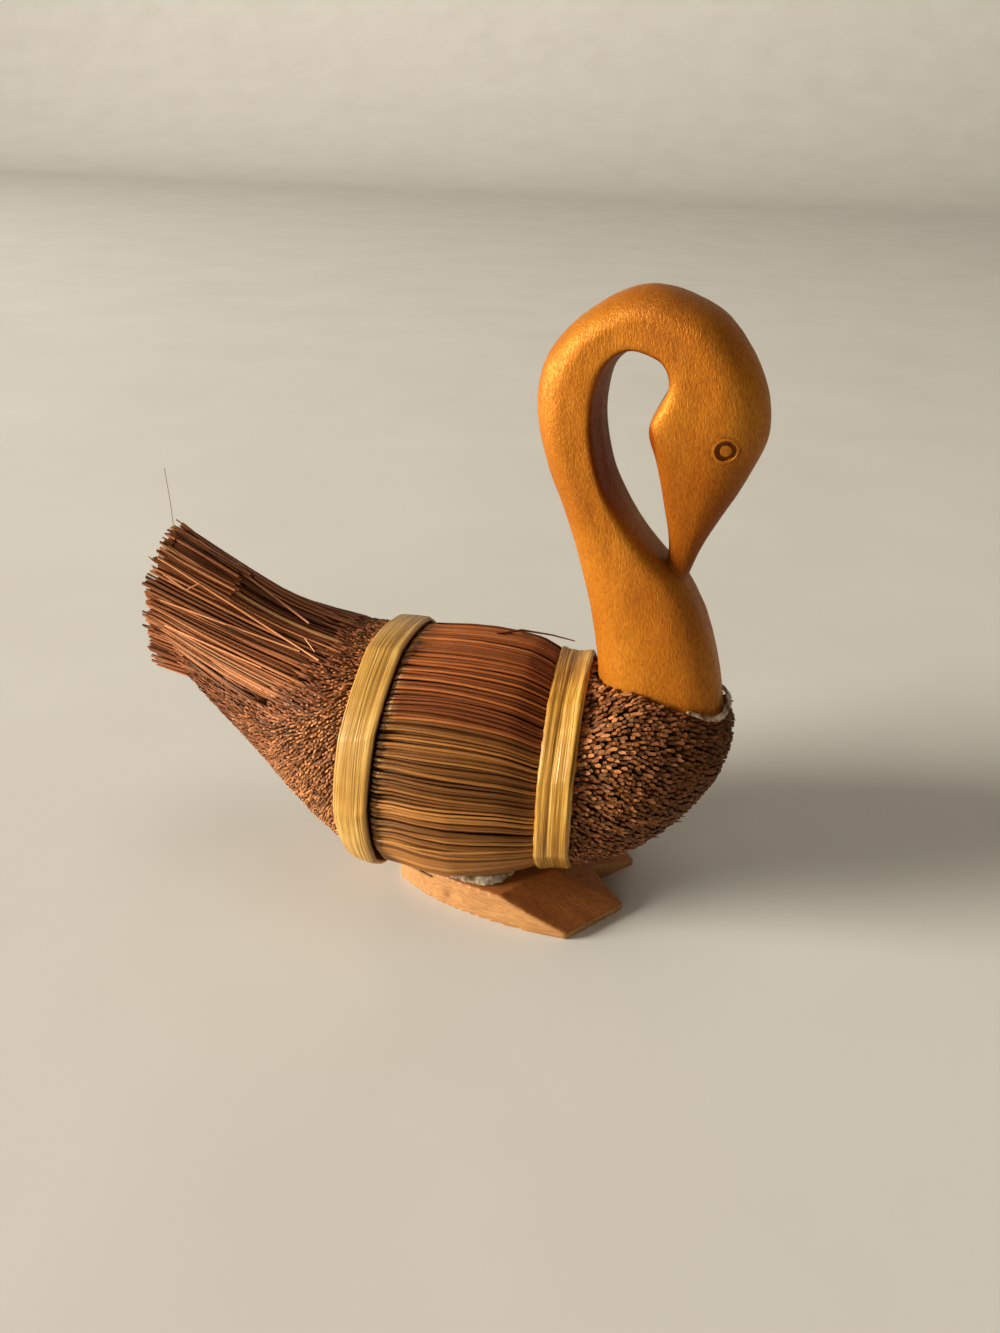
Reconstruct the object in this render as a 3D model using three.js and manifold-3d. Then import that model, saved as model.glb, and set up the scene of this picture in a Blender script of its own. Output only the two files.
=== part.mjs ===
// Swan figurine: a carved wooden head and neck on a body of bound plant stalks, standing on a pair of webbed feet.
// Millimetres. +X runs forward to the breast, +Y to the swan's left, +Z up.
// The origin is the middle of the flat underside of the feet.
import * as THREE from 'three';
import { mergeVertices } from 'three/addons/utils/BufferGeometryUtils.js';
import Module from 'manifold-3d';

const wasm = await Module();
wasm.setup();

// Driving dimensions
const FIT_GAP = 0.35;

const FEET_THICK = 9;
const FEET_TOE_THICK = 2;
const FEET_REAR_THICK = 6.2;
const FEET_REAR_X = -30;
const FEET_REAR_HALF_WIDTH = 12.7;
const FEET_SIDE_PULL = [-16, 23.6];
const TOE_OUTER = [16.6, 24];
const TOE_INNER = [28.6, 9.1];
const TOE_NOTCH = [18.8, -1.8];
const NOTCH_THICK = 5.8;
const INSTEP_RIDGE = [12, 10.5, 8.2];
const INSTEP_CREASE = [-1, 22.8];

const SEAT_Z = FEET_THICK + 2;
const SEAT_FRONT_X = 34;
const SEAT_REAR_X = -29;
const SEAT_REAR_SLOPE = 1.1;
const SEAT_FRONT_SLOPE = 1;

const REAR_BAND = { x: -35.2, width: 8.7, thick: 1.0, turn: 0, lean: 2.2 };
const FRONT_BAND = { x: 10.4, width: 8.2, thick: 1.3, turn: 4, lean: 0 };
const BAND_LEVEL = 34;

const EYE = { x: 38.4, z: 120.6, outer: 2.25, inner: 1.2, surfaceY: 8.1, depth: 0.9 };

// Each body section is given by its top and bottom point in the middle plane and its half width.
const BODY_SECTIONS = [
  { top: [-92.2, 87], bottom: [-96.6, 52.6], half: 11.5 },
  { top: [-79, 78.3], bottom: [-84.4, 40.4], half: 14.2 },
  { top: [-64, 69.6], bottom: [-68.4, 27.4], half: 19.5 },
  { top: [-48, 65], bottom: [-51, 14], half: 27.5 },
  { top: [-36, 65.3], bottom: [-37, 4.2], half: 30.5 },
  { top: [-28, 65.6], bottom: [-28, 3.8], half: 31 },
  { top: [-14, 66.8], bottom: [-14, 2.4], half: 32.4 },
  { top: [0, 65.9], bottom: [0, 6.7], half: 29.8 },
  { top: [8, 62.3], bottom: [8, 10.6], half: 26.9 },
  { top: [17, 64.3], bottom: [17, 12.6], half: 26 },
  { top: [27, 67], bottom: [27, 16.6], half: 23.6 },
  { top: [37, 64.8], bottom: [37, 25.6], half: 18.8 },
  { top: [44, 61.6], bottom: [44.8, 36.6], half: 12.6 },
  { top: [47.3, 59], bottom: [48, 44.6], half: 7.4 },
  { top: [48.7, 56], bottom: [49, 49.6], half: 3 },
];

// The carved neck runs from its seat in the breast, up and over the crown, down to the tip of the beak.
// Each station holds a point on the outer outline, its partner on the inner outline, the half depth and how
// square the section is on its inner side.
const NECK_STATIONS = [
  { outer: [17, 56], inner: [46.2, 55], half: 9.8, edge: 3 },
  { outer: [16.2, 66], inner: [44.6, 65], half: 9.8, edge: 3 },
  { outer: [14.3, 76.5], inner: [41.2, 76.5], half: 9.6, edge: 3 },
  { outer: [11.8, 86], inner: [35.5, 88], half: 9.3, edge: 3 },
  { outer: [9.1, 95.2], inner: [28, 95], half: 8.6, edge: 3.4 },
  { outer: [6, 103.5], inner: [21.7, 102], half: 8.2, edge: 4 },
  { outer: [2.1, 113], inner: [15.8, 111], half: 8.0, edge: 4.6 },
  { outer: [-0.8, 124.5], inner: [12.9, 122.5], half: 7.9, edge: 5 },
  { outer: [1.0, 135.2], inner: [13.6, 131.8], half: 7.9, edge: 5 },
  { outer: [8.8, 144.4], inner: [16.6, 136.4], half: 8.1, edge: 5 },
  { outer: [20.8, 149.6], inner: [20.2, 137.8], half: 8.5, edge: 5 },
  { outer: [34.3, 145.8], inner: [24.8, 136], half: 9.0, edge: 5 },
  { outer: [43.5, 135.4], inner: [26.3, 131.2], half: 9.3, edge: 4.6 },
  { outer: [46.9, 124], inner: [23.3, 123.4], half: 9.0, edge: 4 },
  { outer: [44, 114], inner: [25.2, 116], half: 7.6, edge: 3.6 },
  { outer: [39.1, 103.4], inner: [28, 105], half: 5.6, edge: 3.2 },
  { outer: [36.1, 95.4], inner: [29.2, 97.5], half: 4.2, edge: 3 },
  { outer: [34.3, 89.6], inner: [29.7, 92.4], half: 3.4, edge: 3 },
];
const OUTER_SQUARENESS = 2.2;
const CROWN_SHARE = 0.55;

// How finely the round forms are divided
const NECK_RINGS = 56;
const NECK_RING_POINTS = 24;
const BODY_RINGS = 32;
const BODY_RING_POINTS = 44;
const GLUE_RINGS = 9;
const GLUE_RING_POINTS = 28;
const BEAD_STEPS = 24;
const BEAD_POINTS = 9;
const BEAD_ROUND = 6;
const FOOT_SIDE_STEPS = 14;
const EYE_ROUND = 10;

const FOOT_GLUE = { x: -12, halfLength: 16, halfWidth: 21.6, halfHeight: 3.2, squareness: 2.8 };
const FOOT_GLUE_RIPPLE = { share: 0.035, lobes: 5 };
const NECK_GLUE = { radius: 1.5, x: 31.2, reachX: 14.8, reachY: 10, squareness: 3.2, sweep: 75 };

// Shared helpers

function material(color, roughness) {
  return new THREE.MeshStandardMaterial({ color, roughness, metalness: 0 });
}

// Joins equal rings of points into one closed skin with a fan over each end.
function skinRings(rings) {
  const count = rings[0].length;
  const positions = [];
  const indices = [];
  for (const ring of rings) {
    for (const p of ring) positions.push(p.x, p.y, p.z);
  }
  for (let r = 0; r < rings.length - 1; r += 1) {
    for (let i = 0; i < count; i += 1) {
      const a = r * count + i;
      const b = r * count + ((i + 1) % count);
      indices.push(a, b, a + count);
      indices.push(b, b + count, a + count);
    }
  }
  addEndFan(positions, indices, rings[0], 0, true);
  addEndFan(positions, indices, rings[rings.length - 1], (rings.length - 1) * count, false);
  return indexedGeometry(positions, indices);
}

function addEndFan(positions, indices, ring, start, reversed) {
  const centre = new THREE.Vector3();
  for (const p of ring) centre.add(p);
  centre.divideScalar(ring.length);
  const middle = positions.length / 3;
  positions.push(centre.x, centre.y, centre.z);
  for (let i = 0; i < ring.length; i += 1) {
    const a = start + i;
    const b = start + ((i + 1) % ring.length);
    if (reversed) indices.push(middle, b, a);
    else indices.push(middle, a, b);
  }
}

function indexedGeometry(positions, indices) {
  const geometry = new THREE.BufferGeometry();
  geometry.setAttribute('position', new THREE.Float32BufferAttribute(positions, 3));
  geometry.setIndex(indices);
  return geometry;
}

// Turns a geometry into a solid for cutting and joining, with its faces pointing out.
function solid(geometry) {
  const source = geometry.clone();
  source.deleteAttribute('normal');
  source.deleteAttribute('uv');
  const welded = mergeVertices(source, 1e-4);
  const vertProperties = new Float32Array(welded.attributes.position.array);
  const triVerts = new Uint32Array(welded.index.array);
  if (signedVolume(vertProperties, triVerts) < 0) {
    for (let i = 0; i < triVerts.length; i += 3) {
      [triVerts[i + 1], triVerts[i + 2]] = [triVerts[i + 2], triVerts[i + 1]];
    }
  }
  return new wasm.Manifold(new wasm.Mesh({ numProp: 3, vertProperties, triVerts }));
}

function signedVolume(points, triangles) {
  const a = new THREE.Vector3();
  const b = new THREE.Vector3();
  const c = new THREE.Vector3();
  let sum = 0;
  for (let i = 0; i < triangles.length; i += 3) {
    a.fromArray(points, triangles[i] * 3);
    b.fromArray(points, triangles[i + 1] * 3);
    c.fromArray(points, triangles[i + 2] * 3);
    sum += a.dot(b.cross(c));
  }
  return sum / 6;
}

function solidToGeometry(body) {
  const mesh = body.getMesh();
  const geometry = new THREE.BufferGeometry();
  geometry.setAttribute('position', new THREE.BufferAttribute(new Float32Array(mesh.vertProperties), 3));
  geometry.setIndex(new THREE.BufferAttribute(new Uint32Array(mesh.triVerts), 1));
  return geometry;
}

function namedMesh(name, body, look) {
  const geometry = solidToGeometry(body);
  geometry.computeVertexNormals();
  const mesh = new THREE.Mesh(geometry, look);
  mesh.name = name;
  return mesh;
}

// A point of a rounded oval at an angle; a power of 2 is an ellipse and higher powers are squarer.
function ovalPoint(angle, power) {
  const c = Math.cos(angle);
  const s = Math.sin(angle);
  return [
    Math.sign(c) * Math.abs(c) ** (2 / power),
    Math.sign(s) * Math.abs(s) ** (2 / power),
  ];
}

// A smooth curve through points of the middle plane, with one more value carried in Y.
function profileCurve(items) {
  const points = items.map(([x, value, z]) => new THREE.Vector3(x, value, z));
  return new THREE.CatmullRomCurve3(points, false, 'catmullrom', 0.5);
}

// Feet

// The two webbed feet are sawn from one board: convex sides, slanted toes and a notch between them.
function feetOutline() {
  const [pullX, pullY] = FEET_SIDE_PULL;
  const shape = new THREE.Shape();
  shape.moveTo(FEET_REAR_X, FEET_REAR_HALF_WIDTH);
  shape.lineTo(FEET_REAR_X, -FEET_REAR_HALF_WIDTH);
  shape.quadraticCurveTo(pullX, -pullY, TOE_OUTER[0], -TOE_OUTER[1]);
  shape.lineTo(TOE_INNER[0], -TOE_INNER[1]);
  shape.lineTo(TOE_NOTCH[0], TOE_NOTCH[1]);
  shape.lineTo(TOE_INNER[0], TOE_INNER[1]);
  shape.lineTo(TOE_OUTER[0], TOE_OUTER[1]);
  shape.quadraticCurveTo(pullX, pullY, FEET_REAR_X, FEET_REAR_HALF_WIDTH);
  return shape;
}

// Cuts away all that lies above the plane through three points.
function trimAbove(body, a, b, c) {
  const plane = new THREE.Plane().setFromCoplanarPoints(
    new THREE.Vector3(...a),
    new THREE.Vector3(...b),
    new THREE.Vector3(...c),
  );
  if (plane.normal.z > 0) plane.negate();
  return body.trimByPlane(plane.normal.toArray(), -plane.constant);
}

function feetSolid() {
  const slab = new THREE.ExtrudeGeometry(feetOutline(), {
    depth: FEET_THICK,
    bevelEnabled: false,
    curveSegments: FOOT_SIDE_STEPS,
  });
  let body = solid(slab);
  for (const side of [-1, 1]) {
    const outer = [TOE_OUTER[0], side * TOE_OUTER[1], FEET_TOE_THICK];
    const inner = [TOE_INNER[0], side * TOE_INNER[1], FEET_TOE_THICK];
    const crease = [INSTEP_CREASE[0], side * INSTEP_CREASE[1], FEET_THICK];
    const notch = [TOE_NOTCH[0], TOE_NOTCH[1], NOTCH_THICK];
    const ridge = [INSTEP_RIDGE[0], side * INSTEP_RIDGE[1], INSTEP_RIDGE[2]];
    body = trimAbove(body, outer, inner, crease);
    body = trimAbove(body, inner, notch, ridge);
  }
  const rearTop = [FEET_REAR_X, 0, FEET_REAR_THICK];
  const rearSide = [FEET_REAR_X, 1, FEET_REAR_THICK];
  const rearRise = [FEET_REAR_X / 2, 0, FEET_THICK];
  return trimAbove(body, rearTop, rearSide, rearRise);
}

// Bundle of stalks

// The bundle is trimmed flat over the feet so that it can sit on them; behind them it keeps its round underside.
function seatHeight(x) {
  const behind = SEAT_REAR_X - x;
  if (behind > 0) return SEAT_Z - behind * SEAT_REAR_SLOPE;
  const ahead = x - SEAT_FRONT_X;
  if (ahead > 0) return SEAT_Z - ahead * SEAT_FRONT_SLOPE;
  return SEAT_Z;
}

function bodyCurves() {
  return {
    top: profileCurve(BODY_SECTIONS.map((s) => [s.top[0], s.half, s.top[1]])),
    bottom: profileCurve(BODY_SECTIONS.map((s) => [s.bottom[0], s.half, s.bottom[1]])),
  };
}

// One section of the bundle at curve parameter t, grown outward by a margin.
function bodyRing(curves, t, grow, count) {
  const top = curves.top.getPoint(t);
  const bottom = curves.bottom.getPoint(t);
  const half = top.y;
  const rise = new THREE.Vector3(top.x - bottom.x, 0, top.z - bottom.z).multiplyScalar(0.5);
  const height = rise.length();
  rise.normalize();
  const centre = new THREE.Vector3((top.x + bottom.x) / 2, 0, (top.z + bottom.z) / 2);
  const ring = [];
  for (let i = 0; i < count; i += 1) {
    const angle = (i / count) * Math.PI * 2;
    const p = centre.clone().addScaledVector(rise, Math.sin(angle) * (height + grow));
    p.y = Math.cos(angle) * (half + grow);
    p.z = Math.max(p.z, seatHeight(p.x) - grow);
    ring.push(p);
  }
  return ring;
}

function bundleSolid(grow) {
  const curves = bodyCurves();
  const rings = [];
  for (let i = 0; i <= BODY_RINGS; i += 1) {
    rings.push(bodyRing(curves, i / BODY_RINGS, grow, BODY_RING_POINTS));
  }
  return solid(skinRings(rings));
}

// Bands

// A split cane strip wound round the bundle: a closed hoop that follows the bundle's own section.
function bandSolid(band) {
  const turn = THREE.MathUtils.degToRad(band.turn);
  const lean = THREE.MathUtils.degToRad(band.lean);
  const along = new THREE.Vector3(Math.cos(turn), Math.sin(turn), -Math.tan(lean)).normalize();
  const middle = along.dot(new THREE.Vector3(band.x, 0, BAND_LEVEL));
  const shell = bundleSolid(FIT_GAP + band.thick).subtract(bundleSolid(FIT_GAP));
  return shell
    .trimByPlane(along.toArray(), middle - band.width / 2)
    .trimByPlane(along.clone().negate().toArray(), -middle - band.width / 2);
}

// Head and neck

function neckRing(outerCurve, innerCurve, t, grow) {
  const outer = outerCurve.getPoint(t);
  const inner = innerCurve.getPoint(t);
  const half = outer.y;
  const edge = inner.y;
  const across = new THREE.Vector3(outer.x - inner.x, 0, outer.z - inner.z).multiplyScalar(0.5);
  const width = across.length();
  across.normalize();
  const centre = new THREE.Vector3((outer.x + inner.x) / 2, 0, (outer.z + inner.z) / 2);
  const ring = [];
  for (let i = 0; i < NECK_RING_POINTS; i += 1) {
    const angle = ((i + 0.5) / NECK_RING_POINTS) * Math.PI * 2;
    const power = Math.cos(angle) > 0 ? OUTER_SQUARENESS : edge;
    const [u, v] = ovalPoint(angle, power);
    const p = centre.clone().addScaledVector(across, u * (width + grow));
    p.y = v * (half + grow);
    ring.push(p);
  }
  return ring;
}

function neckSweep(grow) {
  const outerCurve = profileCurve(NECK_STATIONS.map((s) => [s.outer[0], s.half, s.outer[1]]));
  const innerCurve = profileCurve(NECK_STATIONS.map((s) => [s.inner[0], s.edge, s.inner[1]]));
  const rings = [];
  for (let i = 0; i <= NECK_RINGS; i += 1) {
    rings.push(neckRing(outerCurve, innerCurve, i / NECK_RINGS, grow));
  }
  for (const p of rings[0]) p.z -= grow;
  return rings;
}

// The sweep is skinned in two overlapping runs so that the beak tip fuses with the neck it rests on.
function neckSolid(grow) {
  const rings = neckSweep(grow);
  const split = Math.round(NECK_RINGS * CROWN_SHARE);
  const lower = solid(skinRings(rings.slice(0, split + 1)));
  const upper = solid(skinRings(rings.slice(split)));
  return lower.add(upper);
}

function eyeCutter(side) {
  const ring = new THREE.Shape();
  ring.absarc(0, 0, EYE.outer, 0, Math.PI * 2, false);
  const island = new THREE.Path();
  island.absarc(0, 0, EYE.inner, 0, Math.PI * 2, true);
  ring.holes.push(island);
  const cutter = new THREE.ExtrudeGeometry(ring, { depth: EYE.surfaceY, bevelEnabled: false, curveSegments: EYE_ROUND });
  cutter.rotateX(side * -Math.PI / 2);
  cutter.translate(EYE.x, side * (EYE.surfaceY - EYE.depth), EYE.z);
  return solid(cutter);
}

function headSolid() {
  return neckSolid(0).subtract(eyeCutter(-1)).subtract(eyeCutter(1));
}

// Glue

// Dried glue that squeezed out between the bundle and the feet.
function footGlueSolid(bundleGrown) {
  const rings = [];
  for (let i = 1; i <= GLUE_RINGS; i += 1) {
    const rise = (i / (GLUE_RINGS + 1)) * Math.PI;
    const lift = -Math.cos(rise);
    const spread = Math.sqrt(Math.sin(rise));
    const ring = [];
    for (let k = 0; k < GLUE_RING_POINTS; k += 1) {
      const angle = (k / GLUE_RING_POINTS) * Math.PI * 2;
      const [u, v] = ovalPoint(angle, FOOT_GLUE.squareness);
      const ripple = 1 + FOOT_GLUE_RIPPLE.share * Math.sin(FOOT_GLUE_RIPPLE.lobes * angle + 1);
      const x = FOOT_GLUE.x + u * spread * ripple * FOOT_GLUE.halfLength;
      const y = v * spread * ripple * FOOT_GLUE.halfWidth;
      ring.push(new THREE.Vector3(x, y, FEET_THICK + lift * FOOT_GLUE.halfHeight));
    }
    rings.push(ring);
  }
  const pad = solid(skinRings(rings)).subtract(bundleGrown);
  return largestPiece(pad.trimByPlane([0, 0, 1], FEET_THICK + FIT_GAP));
}

// Height of the breast's upper surface at a point in plan.
function breastHeight(curves, x, y) {
  const t = parameterAtX(curves, x);
  const top = curves.top.getPoint(t);
  const bottom = curves.bottom.getPoint(t);
  const middle = (top.z + bottom.z) / 2;
  const rise = (top.z - bottom.z) / 2;
  return middle + rise * Math.sqrt(Math.max(0, 1 - (y / top.y) ** 2));
}

// The parameter at which the top curve reaches x, found by halving.
function parameterAtX(curves, x) {
  let low = 0;
  let high = 1;
  while (high - low > 1e-9) {
    const middle = (low + high) / 2;
    if (curves.top.getPoint(middle).x < x) low = middle;
    else high = middle;
  }
  return (low + high) / 2;
}

// A pale bead of glue round the front of the neck where it enters the breast.
function neckGlueSolid(bundleGrown, neckGrown) {
  const curves = bodyCurves();
  const points = [];
  for (let i = 0; i < BEAD_POINTS; i += 1) {
    const share = (2 * i) / (BEAD_POINTS - 1) - 1;
    const angle = THREE.MathUtils.degToRad(share * NECK_GLUE.sweep);
    const [u, v] = ovalPoint(angle, NECK_GLUE.squareness);
    const x = NECK_GLUE.x + u * NECK_GLUE.reachX;
    const y = v * NECK_GLUE.reachY;
    points.push(new THREE.Vector3(x, y, breastHeight(curves, x, y)));
  }
  const path = new THREE.CatmullRomCurve3(points);
  const round = new THREE.Shape();
  round.absarc(0, 0, NECK_GLUE.radius, 0, Math.PI * 2, false);
  const bead = new THREE.ExtrudeGeometry(round, { steps: BEAD_STEPS, curveSegments: BEAD_ROUND, extrudePath: path });
  return largestPiece(solid(bead).subtract(bundleGrown).subtract(neckGrown));
}

function largestPiece(body) {
  const pieces = body.decompose();
  return pieces.reduce((best, piece) => (piece.volume() > best.volume() ? piece : best));
}

// The part

const neckGrown = neckSolid(FIT_GAP);
const bundleGrown = bundleSolid(FIT_GAP);
const bundle = bundleSolid(0).subtract(neckGrown);

const part = new THREE.Group();
part.name = 'swan_figurine';
part.add(namedMesh('head_and_neck', headSolid(), material(0xb5651d, 0.35)));
part.add(namedMesh('bristle_bundle', bundle, material(0x7a4a2e, 0.75)));
part.add(namedMesh('rear_band', bandSolid(REAR_BAND), material(0xb8923f, 0.45)));
part.add(namedMesh('front_band', bandSolid(FRONT_BAND), material(0xb8923f, 0.5)));
part.add(namedMesh('webbed_feet', feetSolid(), material(0xc68a4e, 0.6)));
part.add(namedMesh('foot_glue', footGlueSolid(bundleGrown), material(0xd8d2c2, 0.4)));
part.add(namedMesh('neck_glue', neckGlueSolid(bundleGrown, neckGrown), material(0xddd3be, 0.5)));

export default part;
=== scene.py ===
# Swan figurine: a carved, stained head and neck on a body of bound plant stalks, on webbed wooden feet.
# Sizes are millimetres in the frame's own axes, X towards the breast and Z up. Meshes are written in metres.
import math

import bmesh
import bpy
import numpy as np
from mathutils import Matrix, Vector, noise
from mathutils.bvhtree import BVHTree


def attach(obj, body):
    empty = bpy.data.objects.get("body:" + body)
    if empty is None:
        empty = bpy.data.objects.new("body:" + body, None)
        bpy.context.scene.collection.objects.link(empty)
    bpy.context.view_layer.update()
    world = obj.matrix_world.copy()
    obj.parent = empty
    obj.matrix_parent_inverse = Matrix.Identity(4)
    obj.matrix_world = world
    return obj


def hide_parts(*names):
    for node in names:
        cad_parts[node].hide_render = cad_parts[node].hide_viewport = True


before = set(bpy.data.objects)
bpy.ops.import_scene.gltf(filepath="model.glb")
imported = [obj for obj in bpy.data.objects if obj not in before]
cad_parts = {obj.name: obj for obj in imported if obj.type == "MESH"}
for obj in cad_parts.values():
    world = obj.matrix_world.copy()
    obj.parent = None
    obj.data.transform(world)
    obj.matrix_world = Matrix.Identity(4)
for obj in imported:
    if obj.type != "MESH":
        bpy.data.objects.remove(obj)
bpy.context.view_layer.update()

MM = 0.001
TURN = 2 * math.pi

# Camera of the photograph
PHOTO_WIDTH = 1000
PHOTO_HEIGHT = 1333
PHOTO_FOCAL = 1000
CAMERA_PLACE = (43.6, -205.7, 178.0)
CAMERA_YAW = 14
CAMERA_PITCH = 29
CAMERA_ROLL = 1.5
SENSOR = 36

# Bands, as in the frame
FIT_GAP = 0.35
BAND_LEVEL = 34
REAR_BAND = {
    "x": -35.2, "width": 8.7, "thick": 1.0, "turn": 0, "lean": 2.2,
    "bends": (62, 106, 150, 184, 220, 265, 310, 356, 24),
    "grooves": 10, "ragged": 0.08, "ridge": 0.08, "overlap": 0.45, "seed": 51,
}
FRONT_BAND = {
    "x": 10.4, "width": 8.2, "thick": 1.3, "turn": 4, "lean": 0,
    "bends": (72, 120, 158, 200, 250, 300, 345, 28),
    "grooves": 8, "ragged": 0.22, "ridge": 0.17, "overlap": 0.4, "seed": 52,
}

# Eyes
EYE_X = 38.9
EYE_Z = 120.7
EYE_OUTER = 2.0
EYE_INNER = 1.25
EYE_DEPTH = 0.85


# Camera, light and stage

# Area lights: name, place and size in metres, power in watts, colour
LIGHTS = (
    ("window", (-3.62, -1.56, 0.92), 1.5, 440, (1, 0.94, 0.82)),
    ("front", (-0.6, -3.2, 1.2), 2.0, 16, (1, 0.90, 0.74)),
    ("ceiling", (0.3, 0.3, 3.2), 2.4, 14, (1, 0.94, 0.84)),
)
LIGHT_AIM = (0, 0, 0.06)
ROOM_COLOUR = (0.96, 0.80, 0.60, 1)
ROOM_STRENGTH = 0.16


# A new object in the scene that carries the data.
def placed(name, data):
    made = bpy.data.objects.new(name, data)
    bpy.context.scene.collection.objects.link(made)
    return made


def camera_axes():
    yaw, pitch, roll = (math.radians(a) for a in (CAMERA_YAW, CAMERA_PITCH, CAMERA_ROLL))
    level_right = np.array([math.cos(yaw), math.sin(yaw), 0])
    level_ahead = np.array([-math.sin(yaw), math.cos(yaw), 0])
    up = np.array([0, 0, 1])
    ahead = level_ahead * math.cos(pitch) - up * math.sin(pitch)
    tilted_up = level_ahead * math.sin(pitch) + up * math.cos(pitch)
    right = level_right * math.cos(roll) + tilted_up * math.sin(roll)
    top = tilted_up * math.cos(roll) - level_right * math.sin(roll)
    return right, top, ahead


def pixel_ray(u, v):
    right, top, ahead = camera_axes()
    ray = right * (u - PHOTO_WIDTH / 2) - top * (v - PHOTO_HEIGHT / 2) + ahead * PHOTO_FOCAL
    return ray / np.linalg.norm(ray)


def make_camera():
    right, top, ahead = camera_axes()
    data = bpy.data.cameras.new("photo_camera")
    data.sensor_width = SENSOR
    data.lens = SENSOR * PHOTO_FOCAL / PHOTO_HEIGHT
    data.clip_start = 0.01
    camera = placed("photo_camera", data)
    matrix = camera.matrix_world
    for row in range(3):
        matrix[row][0] = right[row]
        matrix[row][1] = top[row]
        matrix[row][2] = -ahead[row]
        matrix[row][3] = CAMERA_PLACE[row] * MM
    camera.matrix_world = matrix
    bpy.context.scene.camera = camera


def make_light():
    for name, place, size, power, colour in LIGHTS:
        data = bpy.data.lights.new(name, "AREA")
        data.shape = "DISK"
        data.size = size
        data.energy = power
        data.color = colour
        light = placed(name, data)
        light.location = place
        light.rotation_euler = (Vector(LIGHT_AIM) - Vector(place)).to_track_quat("-Z", "Y").to_euler()
    world = bpy.data.worlds.new("room")
    bpy.context.scene.world = world
    world.use_nodes = True
    sky = world.node_tree.nodes["Background"]
    sky.inputs["Color"].default_value = ROOM_COLOUR
    sky.inputs["Strength"].default_value = ROOM_STRENGTH
    bpy.context.scene.view_settings.view_transform = "Standard"


# Shader helpers

def srgb(red, green, blue):
    def linear(value):
        value /= 255
        if value <= 0.04045:
            return value / 12.92
        return ((value + 0.055) / 1.055) ** 2.4
    return (linear(red), linear(green), linear(blue), 1)


def new_material(name):
    material = bpy.data.materials.new(name)
    material.use_nodes = True
    tree = material.node_tree
    return material, tree, tree.nodes["Principled BSDF"]


def add_node(tree, kind, settings=None, **inputs):
    made = tree.nodes.new(kind)
    for key, value in (settings or {}).items():
        setattr(made, key, value)
    for key, value in inputs.items():
        feed(tree, made.inputs[key.replace("_", " ")], value)
    return made


def feed(tree, socket, value):
    if isinstance(value, bpy.types.NodeSocket):
        tree.links.new(value, socket)
    else:
        socket.default_value = value


def blend_colours(tree, factor, first, second, how="MIX"):
    made = tree.nodes.new("ShaderNodeMix")
    made.data_type = "RGBA"
    made.blend_type = how
    feed(tree, made.inputs[0], factor)
    feed(tree, made.inputs[6], first)
    feed(tree, made.inputs[7], second)
    return made.outputs[2]


def colour_ramp(tree, factor, stops):
    made = tree.nodes.new("ShaderNodeValToRGB")
    ramp = made.color_ramp
    while len(ramp.elements) < len(stops):
        ramp.elements.new(0.5)
    for element, (place, colour) in zip(ramp.elements, stops):
        element.position = place
        element.color = colour
    tree.links.new(factor, made.inputs["Fac"])
    return made.outputs["Color"]


def math_node(tree, operation, first, second=0.0, clamp=False):
    made = tree.nodes.new("ShaderNodeMath")
    made.operation = operation
    made.use_clamp = clamp
    feed(tree, made.inputs[0], first)
    feed(tree, made.inputs[1], second)
    return made.outputs[0]


def remap(tree, value, low, high, new_low=0.0, new_high=1.0):
    made = add_node(tree, "ShaderNodeMapRange", {"interpolation_type": "SMOOTHSTEP"})
    feed(tree, made.inputs["Value"], value)
    made.inputs["From Min"].default_value = low
    made.inputs["From Max"].default_value = high
    made.inputs["To Min"].default_value = new_low
    made.inputs["To Max"].default_value = new_high
    return made.outputs["Result"]


# Noise over the object's own space, in cycles per millimetre along each axis after a turn about Y.
def space_noise(tree, cycles, turn=0.0, detail=3.0, roughness=0.55, distortion=0.0):
    coordinates = tree.nodes.new("ShaderNodeTexCoord")
    turned = add_node(tree, "ShaderNodeMapping", Vector=coordinates.outputs["Object"],
                      Rotation=(0, math.radians(turn), 0))
    cycles = tuple(c / MM for c in cycles)
    return noise_node(tree, turned.outputs["Vector"], cycles, detail, roughness, distortion)


# Noise over the strand's own space: millimetres along it, and round or across it.
def grain_noise(tree, cycles, detail=3.0, roughness=0.55):
    return noise_node(tree, attribute(tree, "grain", "Vector"), cycles, detail, roughness, 0.0)


def noise_node(tree, vector, cycles, detail, roughness, distortion):
    scaled = add_node(tree, "ShaderNodeMapping", Vector=vector, Scale=cycles)
    made = add_node(tree, "ShaderNodeTexNoise", Vector=scaled.outputs["Vector"], Scale=1.0, Detail=detail,
                    Roughness=roughness, Distortion=distortion)
    return made.outputs["Fac"]


def attribute(tree, name, output="Fac"):
    return add_node(tree, "ShaderNodeAttribute", {"attribute_name": name}).outputs[output]


# The first value by its share, and the second by the rest.
def mixture(tree, first, share, second):
    return math_node(tree, "ADD", math_node(tree, "MULTIPLY", first, share),
                     math_node(tree, "MULTIPLY", second, 1 - share))


# The colour pulled towards another where a value is high, by at most the given amount.
def pulled(tree, colour, value, amount, towards):
    return blend_colours(tree, math_node(tree, "MULTIPLY", value, amount), colour, towards)


# The colour multiplied by a tint where a value is high.
def tinted(tree, colour, value, tint):
    return blend_colours(tree, value, colour, blend_colours(tree, 1.0, colour, tint, "MULTIPLY"))


def set_surface(tree, shader, colour, gloss_noise, rough, smooth):
    tree.links.new(colour, shader.inputs["Base Color"])
    tree.links.new(remap(tree, gloss_noise, 0.3, 0.7, rough, smooth), shader.inputs["Roughness"])


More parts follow.
